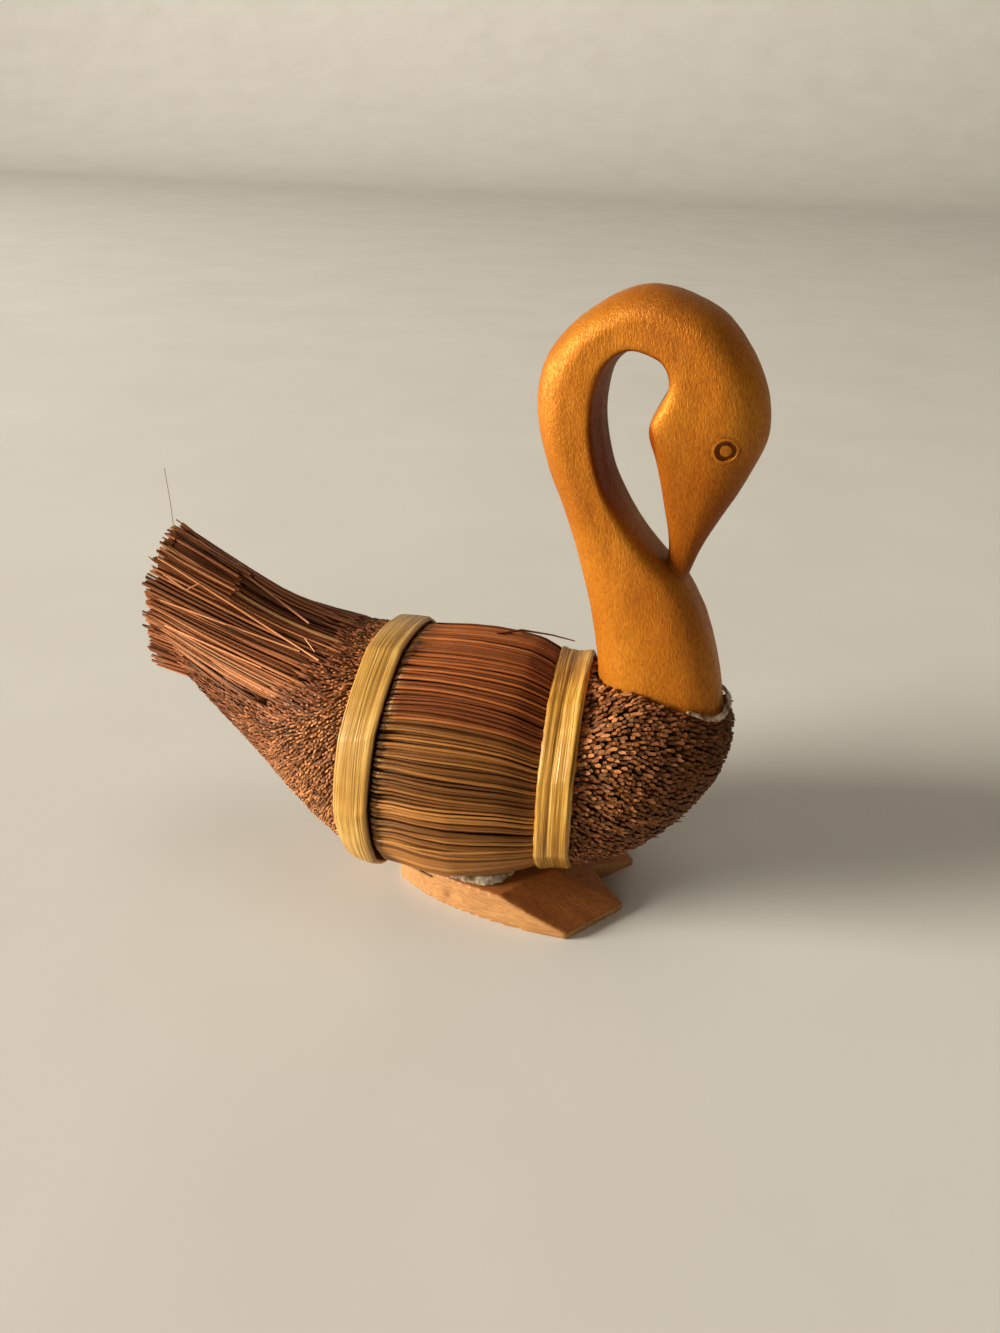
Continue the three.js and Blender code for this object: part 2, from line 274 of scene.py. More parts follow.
def add_bump(tree, shader, height, distance, strength=1.0):
    bump = add_node(tree, "ShaderNodeBump", Height=height, Distance=distance * MM, Strength=strength)
    tree.links.new(bump.outputs["Normal"], shader.inputs["Normal"])


# Materials

GRAIN_TURN = 14
RUST = (0.98, 0.62, 0.62, 1)
MAUVE = (0.96, 0.74, 0.86, 1)


def stained_wood():
    material, tree, shader = new_material("stained_wood")
    cloud = space_noise(tree, (0.05, 0.05, 0.03), GRAIN_TURN, 3)
    fibre = space_noise(tree, (2.4, 2.4, 0.8), GRAIN_TURN, 3, 0.6, 0.6)
    fine = space_noise(tree, (5.0, 5.0, 1.8), GRAIN_TURN, 2, 0.6)
    tones = [(0.30, srgb(156, 86, 14)), (0.50, srgb(174, 104, 20)), (0.70, srgb(190, 124, 34))]
    shades = [(0.34, srgb(200, 166, 126)), (0.50, srgb(234, 220, 196)), (0.66, srgb(255, 253, 246))]
    colour = blend_colours(tree, 0.8, colour_ramp(tree, cloud, tones), colour_ramp(tree, fibre, shades),
                           "MULTIPLY")
    # Painted highlight along the edge of the beak tip.
    colour = pulled(tree, colour, attribute(tree, "painted_rim_highlight"), 0.8, srgb(190, 150, 104))
    # Painted shade in the eyes' round groove, carried by the cut attribute.
    colour = pulled(tree, colour, attribute(tree, "cut"), 0.7, srgb(60, 24, 6))
    # Painted shade on the hole's wall, towards the beak and on the crown, with less gloss there.
    painted_shade = attribute(tree, "painted_shade")
    colour = tinted(tree, colour, painted_shade, srgb(164, 104, 66))
    set_surface(tree, shader, colour, fibre, 0.56, 0.40)
    tree.links.new(remap(tree, painted_shade, 0, 1, 0.9, 0.1), shader.inputs["Specular IOR Level"])
    shader.inputs["Specular Tint"].default_value = srgb(255, 208, 120)
    shader.inputs["Metallic"].default_value = 0.28
    height = math_node(tree, "ADD", fibre, math_node(tree, "MULTIPLY", fine, 0.6))
    add_bump(tree, shader, height, 0.17, 1.0)
    return material


def stalk_material(name, dark, middle, light, red, gloss):
    material, tree, shader = new_material(name)
    streak = grain_noise(tree, (0.16, 2.2, 2.2), 4)
    mottle = grain_noise(tree, (0.9, 3.0, 3.0), 3)
    tone = mixture(tree, attribute(tree, "tone"), 0.72, streak)
    colour = colour_ramp(tree, tone, [(0.10, dark), (0.46, middle), (0.84, light)])
    colour = tinted(tree, colour, attribute(tree, "redness"), red)
    colour = pulled(tree, colour, remap(tree, mottle, 0.60, 0.74), 0.4, srgb(52, 28, 16))
    colour = pulled(tree, colour, remap(tree, mottle, 0.27, 0.22), 0.5, srgb(176, 122, 74))
    # Truly paler stalks, and painted highlights where the barrel's stalks bend and along the long loose
    # stalks.
    colour = pulled(tree, colour, attribute(tree, "paleness_and_highlight"), 0.8, srgb(214, 168, 112))
    set_surface(tree, shader, colour, streak, gloss + 0.12, gloss - 0.08)
    shader.inputs["Specular IOR Level"].default_value = 0.5
    shader.inputs["Specular Tint"].default_value = srgb(255, 222, 176)
    add_bump(tree, shader, math_node(tree, "ADD", streak, mottle), 0.08, 0.7)
    return material


# Cut ends are light round the rim and darker at the pith.
def cut_end_material(name, dark, light):
    material, tree, shader = new_material(name)
    pith = grain_noise(tree, (1.4, 3.4, 3.4), 3)
    radius = add_node(tree, "ShaderNodeVectorMath", {"operation": "LENGTH"})
    tree.links.new(attribute(tree, "section", "Vector"), radius.inputs[0])
    tone = mixture(tree, attribute(tree, "tone"), 0.62, pith)
    colour = colour_ramp(tree, tone, [(0.14, dark), (0.74, light)])
    hollow = math_node(tree, "MULTIPLY", remap(tree, radius.outputs["Value"], 0.55, 0.15),
                       remap(tree, pith, 0.42, 0.56, 0.0, 0.6))
    tree.links.new(blend_colours(tree, hollow, colour, dark), shader.inputs["Base Color"])
    shader.inputs["Roughness"].default_value = 0.72
    add_bump(tree, shader, pith, 0.12, 0.8)
    return material


def core_material():
    material, tree, shader = new_material("packed_stalks_in_painted_shade")
    cloud = space_noise(tree, (0.6, 1.6, 1.6), 0, 4)
    # Near black: painted shade deep between the stalks.
    colour = colour_ramp(tree, cloud, [(0.3, srgb(20, 10, 6)), (0.7, srgb(44, 24, 14))])
    tree.links.new(colour, shader.inputs["Base Color"])
    shader.inputs["Roughness"].default_value = 0.95
    shader.inputs["Specular IOR Level"].default_value = 0.05
    add_bump(tree, shader, cloud, 0.3, 0.8)
    return material


def split_cane(name, dark, middle, light, coarse):
    material, tree, shader = new_material(name)
    strand = grain_noise(tree, (0.02, 0.75 * coarse, 1), 1)
    fine = grain_noise(tree, (0.09, 4.6, 1), 4)
    patch = grain_noise(tree, (0.07, 0.10, 1), 2)
    tone = mixture(tree, strand, 0.45, fine)
    colour = colour_ramp(tree, tone, [(0.34, dark), (0.50, middle), (0.64, light)])
    tint = colour_ramp(tree, patch, [(0.35, srgb(206, 182, 122)), (0.65, srgb(255, 250, 236))])
    colour = blend_colours(tree, 0.7, colour, tint, "MULTIPLY")
    colour = pulled(tree, colour, attribute(tree, "groove"), 0.5, srgb(96, 58, 18))
    set_surface(tree, shader, colour, fine, 0.50, 0.34)
    shader.inputs["Specular IOR Level"].default_value = 0.6
    shader.inputs["Specular Tint"].default_value = srgb(255, 232, 190)
    add_bump(tree, shader, fine, 0.08 * coarse, 0.8)
    return material


def bare_wood():
    material, tree, shader = new_material("bare_wood")
    cloud = space_noise(tree, (0.035, 0.2, 0.2), 0, 3)
    fibre = space_noise(tree, (0.22, 1.9, 1.9), 0, 4, 0.6)
    fleck = space_noise(tree, (0.5, 2.6, 2.6), 0, 2)
    colour = colour_ramp(tree, cloud, [(0.3, srgb(164, 116, 64)), (0.7, srgb(190, 142, 86))])
    streaks = colour_ramp(tree, fibre, [(0.34, srgb(204, 172, 138)), (0.62, srgb(255, 250, 240))])
    colour = blend_colours(tree, 0.7, colour, streaks, "MULTIPLY")
    colour = pulled(tree, colour, remap(tree, fleck, 0.60, 0.72), 0.4, srgb(150, 96, 52))
    # Painted shade on the upward faces of the feet.
    colour = tinted(tree, colour, attribute(tree, "painted_top_shade"), srgb(248, 210, 170))
    colour = pulled(tree, colour, attribute(tree, "nick"), 0.6, srgb(118, 74, 38))
    set_surface(tree, shader, colour, fibre, 0.72, 0.58)
    add_bump(tree, shader, fibre, 0.14, 0.7)
    return material


def dried_glue():
    material, tree, shader = new_material("dried_glue")
    cloud = space_noise(tree, (0.35, 0.35, 0.35), 0, 4)
    tones = [(0.36, srgb(86, 58, 36)), (0.50, srgb(146, 122, 94)), (0.64, srgb(206, 194, 172))]
    set_surface(tree, shader, colour_ramp(tree, cloud, tones), cloud, 0.22, 0.42)
    shader.inputs["Subsurface Weight"].default_value = 0.2
    shader.inputs["Subsurface Scale"].default_value = 1.0 * MM
    add_bump(tree, shader, cloud, 0.5, 0.8)
    return material


def pale_floor():
    material, tree, shader = new_material("pale_floor")
    cloud = space_noise(tree, (0.01, 0.01, 0.01), 0, 3)
    colour = colour_ramp(tree, cloud, [(0.3, srgb(206, 204, 198)), (0.7, srgb(212, 210, 205))])
    tree.links.new(colour, shader.inputs["Base Color"])
    shader.inputs["Roughness"].default_value = 0.8
    return material


# Mesh helpers

WELD_REACH = 0.002


def points_of(mesh):
    points = np.empty(len(mesh.vertices) * 3, np.float32)
    mesh.vertices.foreach_get("co", points)
    return points.reshape(-1, 3).astype(float) / MM


def set_points(mesh, points):
    mesh.vertices.foreach_set("co", (points * MM).astype(np.float32).ravel())
    mesh.update()


def normals_of(mesh):
    normals = np.empty(len(mesh.vertices) * 3, np.float32)
    mesh.vertices.foreach_get("normal", normals)
    return normals.reshape(-1, 3).astype(float)


def set_values(mesh, name, values):
    made = mesh.attributes.new(name, "FLOAT", "POINT")
    made.data.foreach_set("value", np.asarray(values, np.float32))


def set_vectors(mesh, name, vectors):
    made = mesh.attributes.new(name, "FLOAT_VECTOR", "POINT")
    made.data.foreach_set("vector", np.asarray(vectors, np.float32).ravel())


# Runs each step on the opened mesh.
def reworked(mesh, *steps):
    work = bmesh.new()
    work.from_mesh(mesh)
    for step in steps:
        step(work)
    work.to_mesh(mesh)
    work.free()
    mesh.update()
    return mesh


def weld(work):
    bmesh.ops.remove_doubles(work, verts=work.verts, dist=WELD_REACH * MM)


def face_outwards(work):
    bmesh.ops.recalc_face_normals(work, faces=work.faces)


def welded_copy(node, name):
    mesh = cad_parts[node].data.copy()
    mesh.name = name
    return reworked(mesh, weld, face_outwards)


def shown(mesh, materials, replaced=None, smooth=True):
    piece = placed(mesh.name, mesh)
    mesh.materials.clear()
    for material in materials:
        mesh.materials.append(material)
    if smooth:
        mesh.shade_smooth()
    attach(piece, "root")
    if replaced:
        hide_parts(replaced)
    return piece


def remeshed(mesh, voxel):
    carrier = placed("carrier", mesh)
    change = carrier.modifiers.new("even", "REMESH")
    change.mode = "VOXEL"
    change.voxel_size = voxel * MM
    graph = bpy.context.evaluated_depsgraph_get()
    graph.update()
    result = bpy.data.meshes.new_from_object(carrier.evaluated_get(graph))
    bpy.data.objects.remove(carrier)
    return result


# Smooths without shrinking: each round pulls the points in and then pushes them out again.
def relax(mesh, rounds, pull=0.5, push=-0.53, hold=None):
    points = points_of(mesh)
    edges = np.empty(len(mesh.edges) * 2, np.int64)
    mesh.edges.foreach_get("vertices", edges)
    a, b = edges.reshape(-1, 2).T
    count = len(points)
    degree = np.bincount(a, minlength=count) + np.bincount(b, minlength=count)
    free = 1.0 if hold is None else (1 - hold)[:, None]
    for _ in range(rounds):
        for step in (pull, push):
            total = np.empty_like(points)
            for axis in range(3):
                ends = np.bincount(a, points[b, axis], count)
                total[:, axis] = ends + np.bincount(b, points[a, axis], count)
            points = points + step * free * (total / degree[:, None] - points)
    set_points(mesh, points)


def noise_at(points, cycles, seed=0.0):
    cycles = np.broadcast_to(cycles, 3)
    shift = Vector((seed, seed * 1.7, seed * 0.3))
    return np.array([noise.noise(Vector(p * cycles) + shift) for p in points])


def smoothstep(low, high, value):
    t = np.clip((np.asarray(value, float) - low) / (high - low), 0, 1)
    return t * t * (3 - 2 * t)


def unit(vectors):
    vectors = np.asarray(vectors, float)
    return vectors / np.maximum(np.linalg.norm(vectors, axis=-1, keepdims=True), 1e-9)


# Shape of the bundle

class Skin:
    """The outside of a CAD node, in millimetres."""

    def __init__(self, node):
        self.mesh = welded_copy(node, node + "_skin")
        self.points = points_of(self.mesh)
        polygons = [tuple(p.vertices) for p in self.mesh.polygons]
        self.tree = BVHTree.FromPolygons([tuple(p) for p in self.points], polygons)

    def first_hit(self, start, direction):
        place, normal, _, _ = self.tree.ray_cast(Vector(start), Vector(direction))
        if place is None:
            return None, None
        return np.array(place), np.array(normal)

    def distance(self, point):
        return self.tree.find_nearest(Vector(point))[3]

    def at_pixel(self, u, v):
        return self.first_hit(CAMERA_PLACE, pixel_ray(u, v))[0]


class BundleShape:
    """Radius of the bundle round its middle line, for each x and angle behind the neck."""

    REAR_X = -90
    FRONT_X = 14
    STATIONS = 105
    ANGLES = 120
    REACH = 120

    def __init__(self, skin):
        self.skin = skin
        self.xs = np.linspace(self.REAR_X, self.FRONT_X, self.STATIONS)
        self.middle = np.array([self._middle(x) for x in self.xs])
        self.radii = np.array([[self._radius(x, z, k) for k in range(self.ANGLES)]
                               for x, z in zip(self.xs, self.middle)])

    def _middle(self, x):
        top, _ = self.skin.first_hit((x, 0.01, self.REACH), (0, 0, -1))
        bottom, _ = self.skin.first_hit((x, 0.01, -self.REACH), (0, 0, 1))
        return (top[2] + bottom[2]) / 2

    def _radius(self, x, z, k):
        angle = TURN * k / self.ANGLES
        out = np.array([0, math.cos(angle), math.sin(angle)])
        centre = np.array([x, 0, z])
        place, _ = self.skin.first_hit(centre + out * self.REACH, -out)
        return np.linalg.norm(place - centre)

    def centre(self, x):
        x = np.asarray(x, float)
        slope = (self.middle[0] - self.middle[4]) / (self.xs[4] - self.xs[0])
        behind = np.maximum(self.xs[0] - x, 0)
        return np.interp(x, self.xs, self.middle) + behind * slope

    def radius(self, x, angle):
        x = np.asarray(x, float)
        angle = np.asarray(angle, float)
        place = np.clip((x - self.xs[0]) / (self.xs[1] - self.xs[0]), 0, self.STATIONS - 1.001)
        turn = (angle % TURN) / TURN * self.ANGLES
        i = place.astype(int)
        j = turn.astype(int) % self.ANGLES
        f = place - i
        g = turn - turn.astype(int)
        k = (j + 1) % self.ANGLES
        near = self.radii[i, j] * (1 - g) + self.radii[i, k] * g
        far = self.radii[i + 1, j] * (1 - g) + self.radii[i + 1, k] * g
        return near * (1 - f) + far * f

    def point(self, x, angle, share=1.0, lift=0.0):
        x, angle, share, lift = np.broadcast_arrays(*(np.asarray(v, float) for v in (x, angle, share, lift)))
        reach = self.radius(x, angle) * share + lift
        return np.stack([x, reach * np.cos(angle), self.centre(x) + reach * np.sin(angle)], axis=-1)

    def angle_of(self, point):
        return math.atan2(point[2] - float(self.centre(point[0])), point[1])

    def at_pixel(self, u, v):
        place = self.skin.at_pixel(u, v)
        return place[0], self.angle_of(place)


# X of a band's edge at a point of the bundle. Side is -1 for its rear edge, 1 for its front edge.
def band_edge(band, side, y, z):
    turn = math.radians(band["turn"])
    lean = math.tan(math.radians(band["lean"]))
    length = math.hypot(1, lean)
    middle = (math.cos(turn) * band["x"] - lean * BAND_LEVEL) / length + side * band["width"] / 2
    return (middle * length + lean * z - math.sin(turn) * y) / math.cos(turn)


def band_edge_at(shape, band, side, angle):
    x = np.full(np.shape(angle), band["x"] + side * band["width"] / 2, float)
    for _ in range(3):
        p = shape.point(x, angle)
        x = band_edge(band, side, p[..., 1], p[..., 2])
    return x


# Stalks

class StalkMesh:
    """Gathers stalks, each a tube with a cap over its end, into one mesh."""

    LEAST_SLOPE = 0.22

    def __init__(self, name):
        self.name = name
        self.points = []
        self.faces = []
        self.kinds = []
        self.grain = []
        self.section = []
        self.values = {"tone": [], "redness": [], "paleness_and_highlight": []}
        self.count = 0

    def add(self, path, radius, sides, tone, redness, paleness_and_highlight=0.0, cut=None, seed=0.0, both_ends=False):
        path = np.asarray(path, float)
        steps = len(path)
        tangents = unit(np.gradient(path, axis=0))
        radii = np.broadcast_to(radius, steps)
        angles = TURN * (np.arange(sides) + seed) / sides
        helper = np.array([math.sin(seed * 12.9), math.cos(seed * 7.7), math.sin(seed * 4.1 + 1)])
        across = unit(np.cross(tangents, np.cross(helper, tangents)))
        over = np.cross(tangents, across)
        turned = (np.cos(angles)[None, :, None] * across[:, None, :]
                  + np.sin(angles)[None, :, None] * over[:, None, :])
        rings = path[:, None, :] + radii[:, None, None] * turned
        if cut is not None:
            rings[-1] = self._onto_plane(rings[-1], path[-1], tangents[-1], cut)
        along = np.concatenate([[0], np.cumsum(np.linalg.norm(np.diff(path, axis=0), axis=1))])
        start = self.count
        values = (tone, redness, paleness_and_highlight)
        self._store(rings.reshape(-1, 3), np.repeat(along, sides), np.tile(angles, steps), values, seed)
        for s in range(steps - 1):
            for k in range(sides):
                a = start + s * sides + k
                b = start + s * sides + (k + 1) % sides
                self.faces.append((a, b, b + sides, a + sides))
                self.kinds.append(0)
        self._cap(rings[-1], along[-1], angles, values, seed, -1)
        if both_ends:
            self._cap(rings[0], 0.0, angles, values, seed, 0)

    def _onto_plane(self, ring, centre, tangent, normal):
        slope = float(np.dot(tangent, normal))
        slope = math.copysign(max(abs(slope), self.LEAST_SLOPE), slope)
        shift = -((ring - centre) @ normal) / slope
        return ring + shift[:, None] * tangent

    def _store(self, points, along, angles, values, seed):
        c, s = np.cos(angles), np.sin(angles)
        self.points.append(points)
        self.grain.append(np.stack([along + seed * 61, 0.5 * c + seed * 37, 0.5 * s + seed * 91], axis=-1))
        self.section.append(np.stack([c, s, 0 * c], axis=-1))
        for name, value in zip(self.values, values):
            value = np.atleast_1d(value).astype(float)
            self.values[name].append(np.repeat(value, len(points) // len(value)))
        self.count += len(points)

    def _cap(self, ring, along, angles, values, seed, end):
        start = self.count
        at_end = [np.atleast_1d(v)[end] for v in values]
        self._store(ring, np.full(len(ring), along), angles, at_end, seed)
        face = list(range(start, start + len(ring)))
        self.faces.append(tuple(face) if end else tuple(reversed(face)))
        self.kinds.append(1)

    def piece(self, materials, slot, replaced=None):
        mesh = bpy.data.meshes.new(self.name)
        points = np.concatenate(self.points) * MM
        mesh.from_pydata(points.tolist(), [], self.faces)
        mesh.polygons.foreach_set("material_index", np.array(self.kinds, np.int32))
        mesh.polygons.foreach_set("use_smooth", np.array(self.kinds) == 0)
        set_vectors(mesh, "grain", np.concatenate(self.grain))
        set_vectors(mesh, "section", np.concatenate(self.section))
        for name, parts in self.values.items():
            set_values(mesh, name, np.concatenate(parts))
        mesh.update()
        return shown(mesh, materials, replaced, smooth=False)


# Evenly spread points on part of a node's skin, no two nearer than the spacing.
def scatter(skin, spacing, keep, seed, tries=9):
    rng = np.random.default_rng(seed)
    mesh = skin.mesh
    mesh.calc_loop_triangles()
    triangles = np.array([t.vertices[:] for t in mesh.loop_triangles])
    corners = skin.points[triangles]
    normals = normals_of(mesh)[triangles]
    faces = np.cross(corners[:, 1] - corners[:, 0], corners[:, 2] - corners[:, 0])
    areas = np.linalg.norm(faces, axis=1) / 2
    wanted = keep(corners.mean(axis=1))
    for k in range(3):
        wanted = wanted | keep(corners[:, k])
    chances = areas * wanted
    count = int(tries * chances.sum() / spacing ** 2)
    picks = rng.choice(len(triangles), count, p=chances / chances.sum())
    r, s = rng.random((2, count))
    flip = r + s > 1
    r[flip], s[flip] = 1 - r[flip], 1 - s[flip]
    weights = np.stack([1 - r - s, r, s], axis=1)[:, :, None]
    places = (corners[picks] * weights).sum(axis=1)
    leans = unit((normals[picks] * weights).sum(axis=1))
    inside = keep(places)
    places, leans = places[inside], leans[inside]
    cells = {}
    kept = []
    for index, place in enumerate(places):
        cell = tuple((place // spacing).astype(int))
        if _is_clear(place, cell, cells, places, spacing):
            cells.setdefault(cell, []).append(index)
            kept.append(index)
    return places[kept], leans[kept]


def _is_clear(place, cell, cells, places, spacing):
    for dx in (-1, 0, 1):
        for dy in (-1, 0, 1):
            for dz in (-1, 0, 1):
                for other in cells.get((cell[0] + dx, cell[1] + dy, cell[2] + dz), ()):
                    gap = places[other] - place
                    if gap @ gap < spacing * spacing:
                        return False
    return True


# The part of each direction that runs along the skin.
def along_skin(directions, normals):
    directions = np.broadcast_to(directions, normals.shape)
    return unit(directions - normals * (directions * normals).sum(axis=-1, keepdims=True))


# Barrel: long stalks that pass under both bands

BARREL_STALKS = 190
BARREL_STEPS = 22
BARREL_RADIUS = 0.42
THICKNESSES = (0.78, 0.9, 1.0, 1.08, 1.2)
SECOND_LAYER = 0.9
# Tone of the second, deeper layer: painted shade in the gaps between the top stalks.
SECOND_SHADE = 0.3
CROSSING_SHARE = 0.07
SHOULDER = 2.4
SHOULDER_SHARES = (0, 0.1, 0.28, 0.52, 0.78)
RED_EDGE_PIXEL = (450, 728)
BROKEN_END_PIXEL = (413, 801)


# Each stalk comes up steeply out of the rear band and goes flat under the front one.
def barrel_path(shape, angle, depth, dive, slope, phase, start=None):
    rear = float(band_edge_at(shape, REAR_BAND, 1, np.array([angle]))[0]) - 0.2
    front = float(band_edge_at(shape, FRONT_BAND, -1, np.array([angle]))[0]) + 2
    first = rear + SHOULDER if start is None else start
    x = np.linspace(first, front, BARREL_STEPS)
    if start is None:
        x = np.concatenate([rear + SHOULDER * np.array(SHOULDER_SHARES), x])
    u = (x - rear) / (front - rear)
    flow = np.array([noise.noise(Vector((math.cos(angle) * 3, math.sin(angle) * 3, v * 1.6))) for v in u])
    turned = angle + slope * (u - 0.4) + 0.004 * np.sin(5 * u + phase) + 0.03 * flow
    buried = np.clip(1 - (x - rear) / SHOULDER, 0, 1)
    sink = dive * (1 - np.sqrt(1 - buried ** 2)) + 0.6 * smoothstep(0.94, 1.0, u)
    return shape.point(x, turned, 1.0, -depth - sink)


def barrel_layer(stalks, shape, depth, shade, offset, seed, redness_of):
    rng = np.random.default_rng(seed)
    broken_x, broken_angle = shape.at_pixel(*BROKEN_END_PIXEL)
    broken = round(broken_angle / TURN * BARREL_STALKS - offset) % BARREL_STALKS
    for k in range(BARREL_STALKS):
        angle = TURN * (k + offset + rng.uniform(-0.22, 0.22)) / BARREL_STALKS
        crossing = depth == 0 and rng.random() < CROSSING_SHARE
        slope = rng.normal(0, 0.07) if crossing else rng.normal(0, 0.01)
        thick = BARREL_RADIUS * rng.choice(THICKNESSES)
        own = depth + thick + rng.uniform(-0.2, 0.34) - (0.3 if crossing else 0)
        snapped = depth == 0 and k == broken
        if snapped:
            angle, slope, own = broken_angle, 0, thick
        path = barrel_path(shape, angle, own, rng.uniform(1.7, 2.2), slope, rng.uniform(0, TURN),
                           broken_x if snapped else None)
        rise = np.arange(len(path))
        # Painted highlight where the top layer's stalks bend up out of the rear band.
        painted_bend_highlight = rng.uniform(0.2, 1.0) * np.exp(-((rise - 3.2) / 1.3) ** 2) * (depth == 0) * (not snapped)
        taper = 1 if snapped else 0.72 + 0.28 * smoothstep(0, 5, rise)
        tone = float(rng.beta(2.4, 2.4)) * shade
        stalks.add(path, thick * taper, 8, tone, redness_of(angle, rng), painted_bend_highlight, seed=rng.random(),
                   both_ends=snapped)


def make_barrel(shape, side_material, end_material):
    _, edge = shape.at_pixel(*RED_EDGE_PIXEL)

    def redness_of(angle, rng):
        height = math.sin(angle) - math.sin(edge)
        amount = smoothstep(-0.03, 0.04, height) * rng.uniform(0.75, 1.0) + rng.uniform(-0.05, 0.15)
        return float(np.clip(amount, 0, 1))

    stalks = StalkMesh("barrel_stalks")
    barrel_layer(stalks, shape, 0, 1.0, 0, 3, redness_of)
    barrel_layer(stalks, shape, SECOND_LAYER, SECOND_SHADE, 0.5, 4, redness_of)
    return stalks.piece([side_material, end_material], "plant_stalks")


# Breast: short stalks cut off along the round front of the bundle

BREAST_SPACING = 0.94
BREAST_LENGTH = 3.6
BREAST_TRIM = np.array([-0.4, -0.1, 0.2])
BREAST_FLOOR = 11.4
NECK_CLEAR = 0.7
NECK_SEAT = 50


def make_breast(skin, head_skin, side_material, end_material):
    def keep(points):
        edge = band_edge(FRONT_BAND, 1, points[:, 1], points[:, 2])
        ahead = points[:, 0] > edge + 0.1
        near_neck = np.array([head_skin.distance(p) < NECK_CLEAR for p in points])
        return ahead & ~(near_neck & (points[:, 2] > NECK_SEAT)) & (points[:, 2] > BREAST_FLOOR)

    places, normals = scatter(skin, BREAST_SPACING, keep, 21)
    rng = np.random.default_rng(22)
    stalks = StalkMesh("breast_stalks")
    back = 1 - smoothstep(12, 30, places[:, 0])
    high = smoothstep(40, 60, places[:, 2])
    rise = np.radians(8 + 34 * back * high)
    forward = np.stack([np.cos(rise), 0 * rise, np.sin(rise)], axis=-1)
    crossing = np.radians(60 - 20 * back * high) + rng.normal(0, 0.16, len(places))
    tangent = along_skin(forward, normals)
    leans = unit(tangent * np.cos(crossing)[:, None] + normals * np.sin(crossing)[:, None]
                 + rng.normal(0, 0.10, places.shape))
    for place, normal, lean, coarse in zip(places, normals, leans, back * high):
        face = unit(normal * 0.8 + lean * 0.35 + BREAST_TRIM + rng.normal(0, 0.18, 3))
        radius = rng.uniform(0.38, 0.50) + 0.05 * coarse
        tip = place + normal * (0.1 - 0.9 * rng.random() ** 2)
        # Tone: painted shade towards the front, which turns away from the light; the ends are also lighter
        # towards the upper back.
        shaded = 0.5 * smoothstep(24, 44, place[0])
        tone = float(rng.beta(1.6, 1.6)) * (0.75 + 0.25 * coarse) * (1 - shaded)
        stalks.add([tip - lean * BREAST_LENGTH, tip], radius, 6, tone, 0.3, cut=face, seed=rng.random())
    return stalks.piece([side_material, end_material], "plant_stalks")


# Tail: a collar of short cut ends behind the rear band, and long stalks that fan out behind it

COLLAR_SPACING = 0.72
COLLAR_SHORTEST = 10
COLLAR_LONGER = 42
COLLAR_CLEAR = 2.5
HOLE_RADIUS = 1.5
SPLAY = (-0.62, 0, -0.78)
SPLAY_CROSSING = 42
TAIL_TOP = (-92.2, 87.0)
TAIL_BOTTOM = (-97.4, 52.6)
TAIL_STEP = 4
TAIL_THICKNESSES = (0.7, 0.85, 1.0, 1.2, 1.5)
# Layers of long stalks: count, depth, radius, shade and seed. The shade is painted shade, darker for the
# deeper layers.
TAIL_LAYERS = ((170, 0.2, 0.33, 1.0, 41), (210, 0.9, 0.34, 0.8, 42), (210, 1.7, 0.36, 0.55, 43))
BRUSH_STALKS = 900
BRUSH_START = -88
BRUSH_LENGTH = 20
PARTING_WIDTH = 1.1
FAN_POINT = (34, 22)
FAN_SPREAD = 0.35
COLLAR_HOLE_PIXEL = (318, 644)
PARTING_PIXELS = ((212, 562), (286, 615))


# The stalks run back as if from one point low in the breast.
def fan_direction(points):
    points = np.asarray(points, float)
    away = [points[..., 0] - FAN_POINT[0], points[..., 1] * FAN_SPREAD, points[..., 2] - FAN_POINT[1]]
    return unit(np.stack(away, axis=-1))


def tail_end_x(z):
    share = (z - TAIL_BOTTOM[1]) / (TAIL_TOP[1] - TAIL_BOTTOM[1])
    return TAIL_BOTTOM[0] + share * (TAIL_TOP[0] - TAIL_BOTTOM[0])


# How far behind the band the cut ends give way to long stalks, by how far down the side faces.
def collar_length(angle):
    down = -np.sin(angle)
    return COLLAR_SHORTEST + COLLAR_LONGER * smoothstep(-1.0, 0.5, down)


